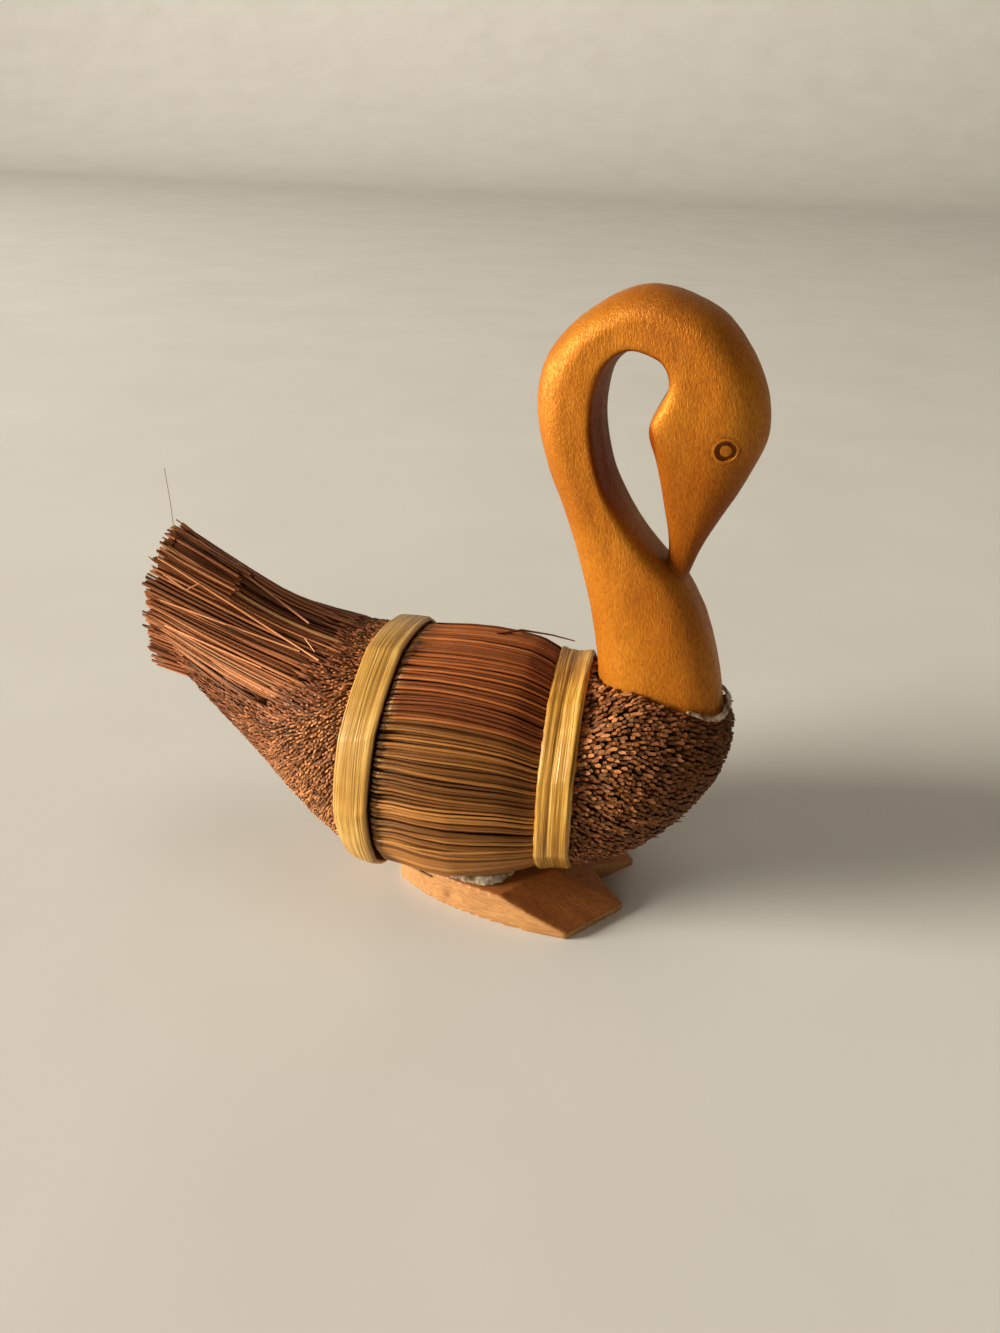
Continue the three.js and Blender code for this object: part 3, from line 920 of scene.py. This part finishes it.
def make_collar(shape, skin, side_material, end_material):
    hole = skin.at_pixel(*COLLAR_HOLE_PIXEL)

    def behind_band(points):
        return band_edge(REAR_BAND, -1, points[:, 1], points[:, 2]) - points[:, 0]

    def keep(points):
        clear = np.linalg.norm((points - hole) * [1, 1, 1.4], axis=1) > HOLE_RADIUS
        before_end = points[:, 0] > tail_end_x(points[:, 2]) + COLLAR_CLEAR
        return (behind_band(points) > 0.1) & before_end & clear

    places, normals = scatter(skin, COLLAR_SPACING, keep, 31)
    rng = np.random.default_rng(32)
    angles = np.arctan2(places[:, 2] - shape.centre(places[:, 0]), places[:, 1])
    flow = fan_direction(places)
    leaving = (flow * normals).sum(axis=1)
    share = behind_band(places) / collar_length(angles) + noise_at(places, 0.16, 5) * 0.3
    below = smoothstep(0.15, 0.5, -normals[:, 2])
    chance = np.maximum(1 - smoothstep(0.7, 1.2, share), below * smoothstep(0.1, 0.3, leaving))
    kept = rng.random(len(places)) < chance
    splay = (1 - smoothstep(0.15, 0.8, share))[:, None]
    tangent = unit(along_skin(flow, normals) * (1 - splay) + along_skin(SPLAY, normals) * splay)
    out = np.arcsin(np.clip(leaving, 0.2, 0.9))[:, None]
    crossing = np.radians(SPLAY_CROSSING) * splay + out * (1 - splay) + rng.normal(0, 0.12, out.shape)
    leans = unit(tangent * np.cos(crossing) + normals * np.sin(crossing) + rng.normal(0, 0.07, places.shape))
    stalks = StalkMesh("collar_stalks")
    for place, normal, lean, near in zip(places[kept], normals[kept], leans[kept], splay[kept, 0]):
        face = unit(normal + rng.normal(0, 0.14, 3))
        radius = rng.uniform(0.24, 0.33)
        tip = place + normal * (0.1 - 0.6 * rng.random() ** 2.5)
        tone = float(rng.beta(1.8, 1.5)) * (0.7 + 0.3 * near)
        length = 4 + 5 * (1 - near)
        redness = 0.9 - 0.7 * near
        stalks.add([tip - lean * length, tip], radius, 5, tone, redness, cut=face, seed=rng.random())
    return stalks.piece([side_material, end_material], "plant_stalks")


# A long stalk creeps along the skin and ends where it leaves the bundle or reaches the end of the tail.
def tail_path(shape, start_x, angle, depth, end_shift, drift):
    point = shape.point(start_x, angle, 1.0, -depth - 1.0)
    path = [point]
    while True:
        ahead = point + fan_direction(point) * TAIL_STEP + drift
        over = tail_end_x(ahead[2]) + end_shift - ahead[0]
        if over > 0:
            path.append(point + (ahead - point) * max(0.1, 1 - over / TAIL_STEP))
            return path
        turn = shape.angle_of(ahead)
        centre = float(shape.centre(ahead[0]))
        reach = math.hypot(ahead[1], ahead[2] - centre)
        limit = float(shape.radius(ahead[0], turn)) - depth
        if reach > limit + 0.7 and math.sin(turn) < -0.35:
            path.append(point + (ahead - point) * 0.35)
            return path
        reach += 0.8 * (limit - reach)
        point = np.array([ahead[0], reach * math.cos(turn), centre + reach * math.sin(turn)])
        path.append(point)


def tail_layer(stalks, shape, count, depth, thick, shade, seed, parting):
    rng = np.random.default_rng(seed)
    for k in range(count):
        angle = TURN * (k + rng.uniform(-0.45, 0.45)) / count
        around = Vector((math.cos(angle) * 2.2, math.sin(angle) * 2.2, depth))
        angle += 0.10 * noise.noise(around * 2)
        edge = float(band_edge_at(shape, REAR_BAND, -1, np.array([angle]))[0])
        start_x = edge - collar_length(angle) * 0.9 + rng.uniform(-3, 5)
        end_shift = 0.5 + 2.0 * noise.noise(around * 3) + rng.normal(0, 0.7)
        own = depth + rng.uniform(-0.3, 0.5)
        path = tail_path(shape, start_x, angle, own, end_shift, rng.normal(0, 0.07, 3))
        if len(path) < 3 or (depth < 1 and crosses(path, parting)):
            continue
        radius = thick * rng.choice(TAIL_THICKNESSES) * np.linspace(1.05, 0.85, len(path))
        tone = float(rng.beta(1.6, 2.2)) * shade
        face = unit(np.array([-1, 0, 0.4]) + rng.normal(0, 0.35, 3))
        paleness_and_highlight = 0.5 if rng.random() < 0.06 else 0.0
        stalks.add(path, radius, 6, tone, rng.uniform(0.5, 1.0), paleness_and_highlight, cut=face, seed=rng.random())


# Whether a stalk comes too near the line where the tail has parted.
def crosses(path, parting):
    first, last = parting
    line = first + np.linspace(0, 1, 9)[:, None] * (last - first)
    gaps = np.linalg.norm(np.asarray(path)[:, None, :] - line[None, :, :], axis=2)
    return gaps.min() < PARTING_WIDTH


# The brush of ends at the back of the tail
def tail_brush(stalks, shape, seed):
    rng = np.random.default_rng(seed)
    for _ in range(BRUSH_STALKS):
        angle = rng.uniform(0, TURN)
        share = math.sqrt(rng.uniform(0.01, 0.98))
        inside = shape.point(BRUSH_START, angle, share)
        clump = noise.noise(Vector(inside * [0, 0.22, 0.22]))
        end_x = tail_end_x(inside[2]) + 0.7 + 1.8 * clump + rng.normal(0, 0.6)
        direction = unit(fan_direction(inside) + rng.normal(0, 0.03, 3))
        tip = inside + direction * (inside[0] - end_x)
        path = [tip - direction * BRUSH_LENGTH * part for part in (1, 0.5, 0)]
        face = unit(np.array([-1, 0, 0.4]) + rng.normal(0, 0.35, 3))
        radius = rng.uniform(0.25, 0.42)
        tone = float(rng.beta(2, 1.8))
        stalks.add(path, radius, 5, tone, rng.uniform(0.5, 1.0), cut=face, seed=rng.random())


def make_tail(shape, skin, side_material, end_material):
    parting = [skin.at_pixel(*pixel) for pixel in PARTING_PIXELS]
    stalks = StalkMesh("tail_stalks")
    for layer in TAIL_LAYERS:
        tail_layer(stalks, shape, *layer, parting)
    tail_brush(stalks, shape, 44)
    return stalks.piece([side_material, end_material], "plant_stalks")


# Single stalks that lie loose over the others, each along a line of pixels

LOOSE_LONG = [
    ((198, 541), (309, 624)),
    ((162, 560), (319, 661)),
    ((156, 598), (300, 652)),
    ((150, 618), (262, 668)),
]
BROKEN_STUB = [(164, 574), (187, 590), (198, 585)]
SLIVER = [(305, 640), (315, 653)]
FALLEN = [(409, 862), (420, 870), (432, 876)]
SPRUNG = [(497, 634), (522, 630), (552, 635), (575, 641)]
SPRUNG_RADII = (0.3, 0.28, 0.22, 0.15)
HAIR_FOOT = (175, 537)
HAIR_BEND = np.array([0.1, 0, 9])
HAIR_TIP = np.array([-0.2, 0, 17.5])


def surface_path(skin, pixels, lift, steps=10):
    pixels = np.asarray(pixels, float)
    places = np.linspace(0, len(pixels) - 1, steps)
    us = np.interp(places, range(len(pixels)), pixels[:, 0])
    vs = np.interp(places, range(len(pixels)), pixels[:, 1])
    path = []
    for u, v in zip(us, vs):
        place, normal = skin.first_hit(CAMERA_PLACE, pixel_ray(u, v))
        if place is not None:
            path.append(place + normal * lift)
    return path


def make_loose(skin, feet_skin, side_material, end_material):
    stalks = StalkMesh("loose_stalks")
    for k, (first, last) in enumerate(LOOSE_LONG):
        path = surface_path(skin, (first, last), 0.25)
        stalks.add(path, 0.27, 6, 0.95, 0.6, 0.12, seed=0.13 * k + 0.1, both_ends=True)
    stalks.add(surface_path(skin, BROKEN_STUB, 0.6, 5), 0.2, 6, 0.95, 0.5, 0.4, seed=0.71, both_ends=True)
    stalks.add(surface_path(skin, SLIVER, 0.5, 3), 0.13, 5, 0.9, 0.2, 0.6, seed=0.37, both_ends=True)
    stalks.add(surface_path(feet_skin, FALLEN, 0.3, 4), 0.27, 6, 0.15, 0.8, seed=0.83, both_ends=True)
    foot = skin.at_pixel(*HAIR_FOOT)
    stalks.add([foot, foot + HAIR_BEND, foot + HAIR_TIP], 0.07, 4, 0.2, 0.5, seed=0.2)
    spring = skin.at_pixel(*SPRUNG[0])
    reach = np.linalg.norm(spring - CAMERA_PLACE)
    lifted = [CAMERA_PLACE + pixel_ray(u, v) * (reach + 2) for u, v in SPRUNG[1:]]
    stalks.add([spring, *lifted], SPRUNG_RADII, 6, 0.1, 0.7, seed=0.5)
    return stalks.piece([side_material, end_material], "plant_stalks")


# The middle of the bundle, coloured near black as painted shade between the stalks. The neck's foot is taken
# with it, so its seat is filled.
CORE_DEPTH = 2.7
CORE_TOP = 72
CORE_VOXEL = 1.3


def make_core(material):
    def add_neck(work):
        work.from_mesh(welded_copy("head_and_neck", "neck_source"))

    def cut_neck_off(work):
        above = [v for v in work.verts if v.co.z / MM > CORE_TOP and v.co.x > 0]
        bmesh.ops.delete(work, geom=above, context="VERTS")

    mesh = remeshed(reworked(welded_copy("bristle_bundle", "core_source"), add_neck), CORE_VOXEL)
    mesh.name = "bundle_core"
    set_points(mesh, points_of(mesh) - normals_of(mesh) * CORE_DEPTH)
    reworked(mesh, cut_neck_off)
    return shown(mesh, [material], "bristle_bundle", smooth=False)


# Bands of split cane

BAND_STEPS = 300
BAND_ACROSS = 72
BAND_JOIN = math.radians(-28)
BAND_RADIUS = 31
BAND_EDGE_ROUND = 0.4
BAND_SINK = 0.15
GROOVE_DEPTH = 0.12
LAP_RISE = 0.22
STIFFNESS = 0.42


# Noise over three coordinates, each an array or one number for all.
def noise_over(x, y, z, seed):
    places = np.stack(np.broadcast_arrays(x, y, z), axis=-1).astype(float)
    return noise_at(places, 1.0, seed)


# A strip that is nearly straight between its bends, with dark grooves along it. Its far end laps over its
# start.
def make_band(name, node, band, shape, material):
    u = np.linspace(0, TURN + band["overlap"], BAND_STEPS)
    half = band["width"] / 2
    seed = band["seed"]
    across = np.outer(np.ones_like(u), np.linspace(-half, half, BAND_ACROSS))
    for column, side in ((0, -1), (-1, 1)):
        across[:, column] += side * band["ragged"] * noise_over(u * 16, 0, 7 * side, seed)
    angles = np.repeat((BAND_JOIN + u)[:, None], BAND_ACROSS, axis=1)
    x = band["x"] + across
    for _ in range(4):
        p = shape.point(x, angles)
        x = band_edge(band, across / half, p[..., 1], p[..., 2])
    along = np.repeat((u * BAND_RADIUS)[:, None], BAND_ACROSS, 1)
    groove = groove_depth(along[:, 0], across, half, band["grooves"], seed)
    lines = ridge_height(along.ravel(), across.ravel(), seed).reshape(across.shape)
    lift = FIT_GAP + straight_runs(BAND_JOIN + u, band["bends"])[:, None]
    lift = lift + (smoothstep(TURN - LAP_RISE, TURN, u) * (band["thick"] + 0.1))[:, None]
    thick = band["thick"] * (1 - np.abs(across / half) ** 12 * BAND_EDGE_ROUND)
    outer = shape.point(x, angles, 1.0, lift + thick + band["ridge"] * lines - GROOVE_DEPTH * groove)
    inner = shape.point(x, angles, 1.0, lift - BAND_SINK)
    mesh = strip_mesh(name, outer, inner, np.stack([along, across, across * 0 + seed], axis=-1))
    set_values(mesh, "groove", np.tile(groove.ravel(), 2))
    return shown(mesh, [material], node)


# Thin grooves that wander a little across the strip as they run along it.
def groove_depth(line, across, half, count, seed):
    rng = np.random.default_rng(seed)
    depth = np.zeros(across.shape)
    for k in range(count):
        start = -half + (k + rng.uniform(0.2, 0.8)) * 2 * half / count
        wander = noise_over(line * 0.03, 0, k, seed) * 0.9
        strength = 0.55 + 0.8 * noise_over(line * 0.06, 9, k, seed)
        gap = (across - start - wander[:, None]) / rng.uniform(0.07, 0.12)
        depth = np.maximum(depth, np.exp(-gap ** 2) * np.clip(strength, 0, 1)[:, None])
    return depth


# Ridges that run the length of the cane and drift a little across it.
def ridge_height(along, across, seed):
    drift = noise_over(along * 0.02, 0, 0, seed) * 0.5
    broad = noise_over(along * 0.01, across * 0.75 + drift, 0, seed)
    fine = noise_over(along * 0.03, across * 2.4 + drift, 0, seed + 9)
    return broad + 0.45 * fine


# How far a strip straight between its bends stands off the circle it was bent round.
def straight_runs(angles, bends):
    corners = np.sort(np.radians(bends))
    following = np.append(corners, corners[0] + TURN)
    turned = np.mod(angles - corners[0], TURN) + corners[0]
    place = np.clip(np.searchsorted(following, turned, side="right") - 1, 0, len(corners) - 1)
    half = (following[place + 1] - following[place]) / 2
    off = turned - following[place] - half
    sag = 1 - np.cos(half) / np.cos(off)
    return STIFFNESS * BAND_RADIUS * (0.045 - sag)


def strip_mesh(name, outer, inner, grain):
    rows, columns, _ = outer.shape
    points = np.concatenate([outer.reshape(-1, 3), inner.reshape(-1, 3)])
    faces = []
    shift = rows * columns

    def index(r, c):
        return r * columns + c

    for r in range(rows - 1):
        for c in range(columns - 1):
            a, b, d, e = index(r, c), index(r, c + 1), index(r + 1, c), index(r + 1, c + 1)
            faces.append((a, b, e, d))
            faces.append((a + shift, d + shift, e + shift, b + shift))
        for c, flip in ((0, False), (columns - 1, True)):
            a, d = index(r, c), index(r + 1, c)
            face = (a, d, d + shift, a + shift)
            faces.append(tuple(reversed(face)) if flip else face)
    for r, flip in ((0, True), (rows - 1, False)):
        for c in range(columns - 1):
            a, b = index(r, c), index(r, c + 1)
            face = (a, b, b + shift, a + shift)
            faces.append(tuple(reversed(face)) if flip else face)
    mesh = bpy.data.meshes.new(name)
    mesh.from_pydata((points * MM).tolist(), [], faces)
    set_vectors(mesh, "grain", np.concatenate([grain.reshape(-1, 3)] * 2))
    return reworked(mesh, face_outwards)


# Head and neck

# The outline of the carving, from its seat in the breast over the crown to the beak tip. Each row holds a
# point of the outer edge, its partner on the inner edge, half the depth and how square the inner side is.
NECK_STATIONS = [
    ((17, 56), (46.2, 55), 9.8, 3),
    ((16.2, 66), (44.6, 65), 9.8, 3),
    ((14.3, 76.5), (41.2, 76.5), 9.6, 3),
    ((11.8, 86), (35.5, 88), 9.3, 3),
    ((9.1, 95.2), (28, 95), 8.6, 3.6),
    ((6, 103.5), (21.7, 102), 8.2, 5),
    ((2.1, 113), (15.8, 111), 8.0, 9),
    ((-0.8, 124.5), (12.9, 122.5), 7.9, 12),
    ((1.0, 135.2), (13.6, 131.8), 7.9, 12),
    ((8.8, 144.4), (16.6, 136.4), 8.1, 12),
    ((20.8, 149.6), (20.2, 137.8), 8.5, 12),
    ((34.3, 145.8), (24.8, 136), 9.0, 10),
    ((43.5, 135.4), (26.3, 131.2), 9.3, 8),
    ((46.9, 124), (23.3, 123.4), 9.0, 7),
    ((44, 114), (25.2, 116), 7.6, 5),
    ((39.1, 103.4), (28, 105), 5.6, 4),
    ((36.1, 96.4), (29.3, 98.5), 4.2, 3.6),
    ((34.1, 89.9), (29.7, 93.6), 3.4, 3.6),
]
OUTER_SQUARENESS = 2.2
HOLE_FLARE = 1.3
FLARE_STATIONS = (3.5, 5.5, 8.5, 10.5)
NECK_RINGS = 440
NECK_ROUND = 132
NECK_SAMPLES = 721
TIP_BEVEL = 0.55
TIP_RINGS = 5
TIP_HIGHLIGHT_WIDTH = 0.25
# Painted shade on the head: round the hole's middle, towards the beak and on the crown.
HOLE_MIDDLE = (19.5, 120)
HOLE_REACH = 30
WALL_SHADE = 0.8
BEAK_SHADE = 0.62
CROWN_SHADE = 0.22


# Points along a smooth curve through rows of values.
def smooth_rows(rows, count):
    rows = np.asarray(rows, float)
    ends = np.concatenate([[2 * rows[0] - rows[1]], rows, [2 * rows[-1] - rows[-2]]])
    t = np.linspace(0, len(rows) - 1, count)
    i = np.minimum(t.astype(int), len(rows) - 2)
    f = (t - i)[:, None]
    a, b, c, d = ends[i], ends[i + 1], ends[i + 2], ends[i + 3]
    squares = (2 * a - 5 * b + 4 * c - d) * f ** 2
    cubes = (3 * b - a - 3 * c + d) * f ** 3
    return 0.5 * (2 * b + (c - a) * f + squares + cubes)


# A rounded section in the plane of the outer and inner points, with its points spread evenly round it.
def neck_ring(outer, inner, half, squareness, flare):
    angles = np.linspace(0, TURN, NECK_SAMPLES)
    c = np.cos(angles)
    s = np.sin(angles)
    power = np.where(c > 0, OUTER_SQUARENESS, squareness)
    u = np.sign(c) * np.abs(c) ** (2 / power)
    v = np.sign(s) * np.abs(s) ** (2 / power)
    centre = (outer + inner) / 2
    across = (outer - inner) / 2
    u = u + flare / np.linalg.norm(across) * np.clip(-v, 0, 1) * np.clip(-u, 0, 1)
    ring = np.stack([centre[0] + u * across[0], v * half, centre[1] + u * across[1]], axis=1)
    length = np.concatenate([[0], np.cumsum(np.linalg.norm(np.diff(ring, axis=0), axis=1))])
    places = np.linspace(0, length[-1], NECK_ROUND, endpoint=False)
    return np.stack([np.interp(places, length, ring[:, k]) for k in range(3)], axis=1)


def neck_rings():
    stations = [(*outer, *inner, half, edge) for outer, inner, half, edge in NECK_STATIONS]
    rows = smooth_rows(stations, NECK_RINGS)
    station = np.linspace(0, len(NECK_STATIONS) - 1, NECK_RINGS)
    a, b, c, d = FLARE_STATIONS
    flare = HOLE_FLARE * smoothstep(a, b, station) * (1 - smoothstep(c, d, station))
    rings = [neck_ring(row[:2], row[2:4], row[4], row[5], out) for row, out in zip(rows, flare)]
    last = rings[-1]
    centre = last.mean(axis=0)
    onward = unit(centre - rings[-4].mean(axis=0))
    for k in range(1, TIP_RINGS + 1):
        turn = k / TIP_RINGS * math.pi / 2
        inset = TIP_BEVEL * (1 - math.cos(turn))
        reach = np.linalg.norm(last - centre, axis=1, keepdims=True)
        rings.append(centre + (last - centre) * (1 - inset / reach) + onward * TIP_BEVEL * math.sin(turn))
    return np.array(rings)


def loft(name, rings):
    count, around, _ = rings.shape
    points = list(rings.reshape(-1, 3))
    faces = []
    for r in range(count - 1):
        for k in range(around):
            a = r * around + k
            b = r * around + (k + 1) % around
            faces.append((a, b, b + around, a + around))
    for r in (0, count - 1):
        points.append(rings[r].mean(axis=0))
        middle = len(points) - 1
        for k in range(around):
            faces.append((middle, r * around + k, r * around + (k + 1) % around))
    mesh = bpy.data.meshes.new(name)
    mesh.from_pydata((np.array(points) * MM).tolist(), [], faces)
    return reworked(mesh, face_outwards)


def make_head(material):
    mesh = loft("carved_head_and_neck", neck_rings())
    carve_eyes(mesh)
    points = points_of(mesh)
    normals = normals_of(mesh)
    waves = noise_at(points, (0.11, 0.11, 0.08), 2) * 0.22 + noise_at(points, (0.45, 0.45, 0.2), 6) * 0.06
    near_eye = eye_distance(points) < EYE_OUTER + 1.2
    waves[near_eye] *= 0.2
    set_points(mesh, points + normals * waves[:, None])
    # Painted shade in the eyes' round groove.
    set_values(mesh, "cut", eye_shade(points))
    set_values(mesh, "painted_rim_highlight", beak_tip_highlight(points))
    # Painted shade on the hole's wall, the beak and the crown.
    set_values(mesh, "painted_shade", wall_shade(points, normals))
    return shown(mesh, [material], "head_and_neck")


# Painted highlight along the edge of the beak tip.
def beak_tip_highlight(points):
    outer, inner = (np.array([x, 0, z]) for x, z in NECK_STATIONS[-1][:2])
    onward = unit(np.cross(outer - inner, (0, 1, 0)))
    height = (points - inner) @ onward
    index = np.arange(len(points))
    at_tip = (index > (NECK_RINGS - 8) * NECK_ROUND) & (index < (NECK_RINGS + TIP_RINGS) * NECK_ROUND)
    return np.exp(-(height / TIP_HIGHLIGHT_WIDTH) ** 2) * at_tip


# Painted shade that darkens the stain: on the wall of the hole under the crown, towards the beak and on the
# crown.
def wall_shade(points, normals):
    toward = np.array([HOLE_MIDDLE[0], 0, HOLE_MIDDLE[1]]) - points
    toward[:, 1] = 0
    facing = (unit(toward) * normals).sum(axis=1)
    near = np.linalg.norm(toward, axis=1) < HOLE_REACH
    along = np.arange(len(points)) / NECK_ROUND / NECK_RINGS
    beak = BEAK_SHADE * smoothstep(0.72, 0.90, along) * (along < 1.02)
    crown = CROWN_SHADE * np.exp(-((along - 0.63) / 0.06) ** 2)
    return np.maximum(smoothstep(0.3, 0.75, facing) * near * WALL_SHADE, beak + crown)


def eye_distance(points):
    off_side = np.where(np.abs(points[:, 1]) > 5, 0, 100)
    return np.hypot(points[:, 0] - EYE_X, points[:, 2] - EYE_Z) + off_side


# Splits the edges round both eyes twice.
def split_near_eyes(work):
    for reach in (EYE_OUTER + 1.0, EYE_OUTER + 0.6):
        near = [e for e in work.edges if edge_eye_distance(e) < reach]
        bmesh.ops.subdivide_edges(work, edges=near, cuts=1, use_grid_fill=True)
    bmesh.ops.triangulate(work, faces=[f for f in work.faces if len(f.verts) > 4])


def carve_eyes(mesh):
    reworked(mesh, split_near_eyes)
    points = points_of(mesh)
    near = eye_distance(points)
    for side in (-1, 1):
        patch = (points[:, 1] * side > 0) & (near < EYE_OUTER + 1.6)
        points[patch, 1] -= side * eye_profile(near[patch])
    set_points(mesh, points)


def edge_eye_distance(edge):
    x, y, z = (edge.verts[0].co + edge.verts[1].co) / 2 / MM
    return math.hypot(x - EYE_X, z - EYE_Z) + (0 if abs(y) > 5 else 100)


# Depth of the eye's round groove, with a low domed disc left standing in its middle.
def eye_profile(distance):
    middle = (EYE_OUTER + EYE_INNER) / 2
    half = (EYE_OUTER - EYE_INNER) / 2
    groove = np.clip(1 - (np.abs(distance - middle) / (half + 0.12)) ** 3, 0, 1) * EYE_DEPTH
    disc = 0.22 * (1 - smoothstep(EYE_INNER - 0.25, EYE_INNER + 0.1, distance))
    rim = -0.08 * np.exp(-((distance - EYE_OUTER - 0.35) / 0.22) ** 2)
    return groove + disc + rim


# Painted shade in the eye's round groove.
def eye_shade(points):
    near = eye_distance(points)
    middle = (EYE_OUTER + EYE_INNER) / 2
    return np.exp(-((near - middle) / 0.34) ** 2)


# Feet

FEET_VOXEL = 0.5
# A nick in the side of the near foot
NICK_PIXEL = (448, 895)
NICK_REACH = 1.1
NICK_DEPTH = 0.35


def make_feet(feet_skin, material):
    mesh = remeshed(welded_copy("webbed_feet", "feet_source"), FEET_VOXEL)
    mesh.name = "webbed_feet_carved"
    relax(mesh, 3)
    points = points_of(mesh)
    normals = normals_of(mesh)
    waves = noise_at(points, (0.10, 0.25, 0.25), 12) * 0.14 + noise_at(points, (0.3, 1.2, 1.2), 14) * 0.04
    waves[points[:, 2] < 0.4] = 0
    away = (points - feet_skin.at_pixel(*NICK_PIXEL)) * (1, 1, 0.6)
    nick = np.exp(-(np.linalg.norm(away, axis=1) / NICK_REACH) ** 2)
    set_points(mesh, points + normals * (waves - NICK_DEPTH * nick)[:, None])
    # Painted shade on the faces that point up.
    set_values(mesh, "painted_top_shade", smoothstep(0.5, 0.8, normals[:, 2]))
    set_values(mesh, "nick", nick)
    return shown(mesh, [material], "webbed_feet")


# Glue

def make_glue(node, name, material, voxel, lumps, shrink):
    mesh = remeshed(welded_copy(node, name + "_source"), voxel)
    mesh.name = name
    relax(mesh, 6)
    points = points_of(mesh)
    normals = normals_of(mesh)
    set_points(mesh, points + normals * (noise_at(points, 0.45, 17) * lumps - shrink)[:, None])
    return shown(mesh, [material], node)


# A floor that sweeps up into a wall far behind the figurine, in metres.
FLOOR_HALF = 5.0
SWEEP_START = 2.4
SWEEP_RADIUS = 1.6
SWEEP_STEPS = 24
WALL_TOP = 3.0


def make_floor(material):
    turns = [math.pi / 2 * k / SWEEP_STEPS for k in range(SWEEP_STEPS + 1)]
    sweep = [(SWEEP_START + SWEEP_RADIUS * math.sin(t), SWEEP_RADIUS * (1 - math.cos(t))) for t in turns]
    profile = [(-FLOOR_HALF, 0), *sweep, (sweep[-1][0], WALL_TOP)]
    points = [(x, y, z) for y, z in profile for x in (-FLOOR_HALF, FLOOR_HALF)]
    faces = [(2 * k, 2 * k + 1, 2 * k + 3, 2 * k + 2) for k in range(len(profile) - 1)]
    mesh = bpy.data.meshes.new("floor")
    mesh.from_pydata(points, [], faces)
    mesh.shade_smooth()
    mesh.materials.append(material)
    placed("floor", mesh)


# The figurine

bundle_skin = Skin("bristle_bundle")
head_skin = Skin("head_and_neck")
feet_skin = Skin("webbed_feet")
bundle_shape = BundleShape(bundle_skin)

barrel_tones = (srgb(44, 20, 6), srgb(116, 70, 28), srgb(182, 124, 62))
short_tones = (srgb(48, 24, 10), srgb(124, 74, 38), srgb(196, 132, 78))
tail_tones = (srgb(50, 24, 12), srgb(132, 80, 42), srgb(208, 146, 92))
rear_tones = (srgb(140, 100, 44), srgb(182, 140, 68), srgb(214, 178, 104))
front_tones = (srgb(122, 82, 24), srgb(174, 128, 48), srgb(218, 180, 100))
barrel_sides = stalk_material("barrel_stalk", *barrel_tones, RUST, 0.4)
short_sides = stalk_material("short_stalk", *short_tones, MAUVE, 0.6)
tail_sides = stalk_material("tail_stalk", *tail_tones, MAUVE, 0.4)
breast_ends = cut_end_material("breast_cut_end", srgb(112, 58, 32), srgb(255, 204, 150))
collar_ends = cut_end_material("collar_cut_end", srgb(164, 104, 54), srgb(250, 192, 118))
rear_cane = split_cane("smooth_split_cane", *rear_tones, 1.0)
front_cane = split_cane("coarse_split_cane", *front_tones, 1.3)

make_camera()
make_light()
make_floor(pale_floor())
make_core(core_material())
make_barrel(bundle_shape, barrel_sides, collar_ends)
make_breast(bundle_skin, head_skin, short_sides, breast_ends)
make_collar(bundle_shape, bundle_skin, short_sides, collar_ends)
make_tail(bundle_shape, bundle_skin, tail_sides, collar_ends)
make_loose(bundle_skin, feet_skin, tail_sides, collar_ends)
make_band("rear_cane_band", "rear_band", REAR_BAND, bundle_shape, rear_cane)
make_band("front_cane_band", "front_band", FRONT_BAND, bundle_shape, front_cane)
make_head(stained_wood())
make_feet(feet_skin, bare_wood())
make_glue("foot_glue", "foot_glue_spread", dried_glue(), 0.4, 0.5, 0.15)
make_glue("neck_glue", "neck_glue_bead", dried_glue(), 0.3, 0.35, 0.95)
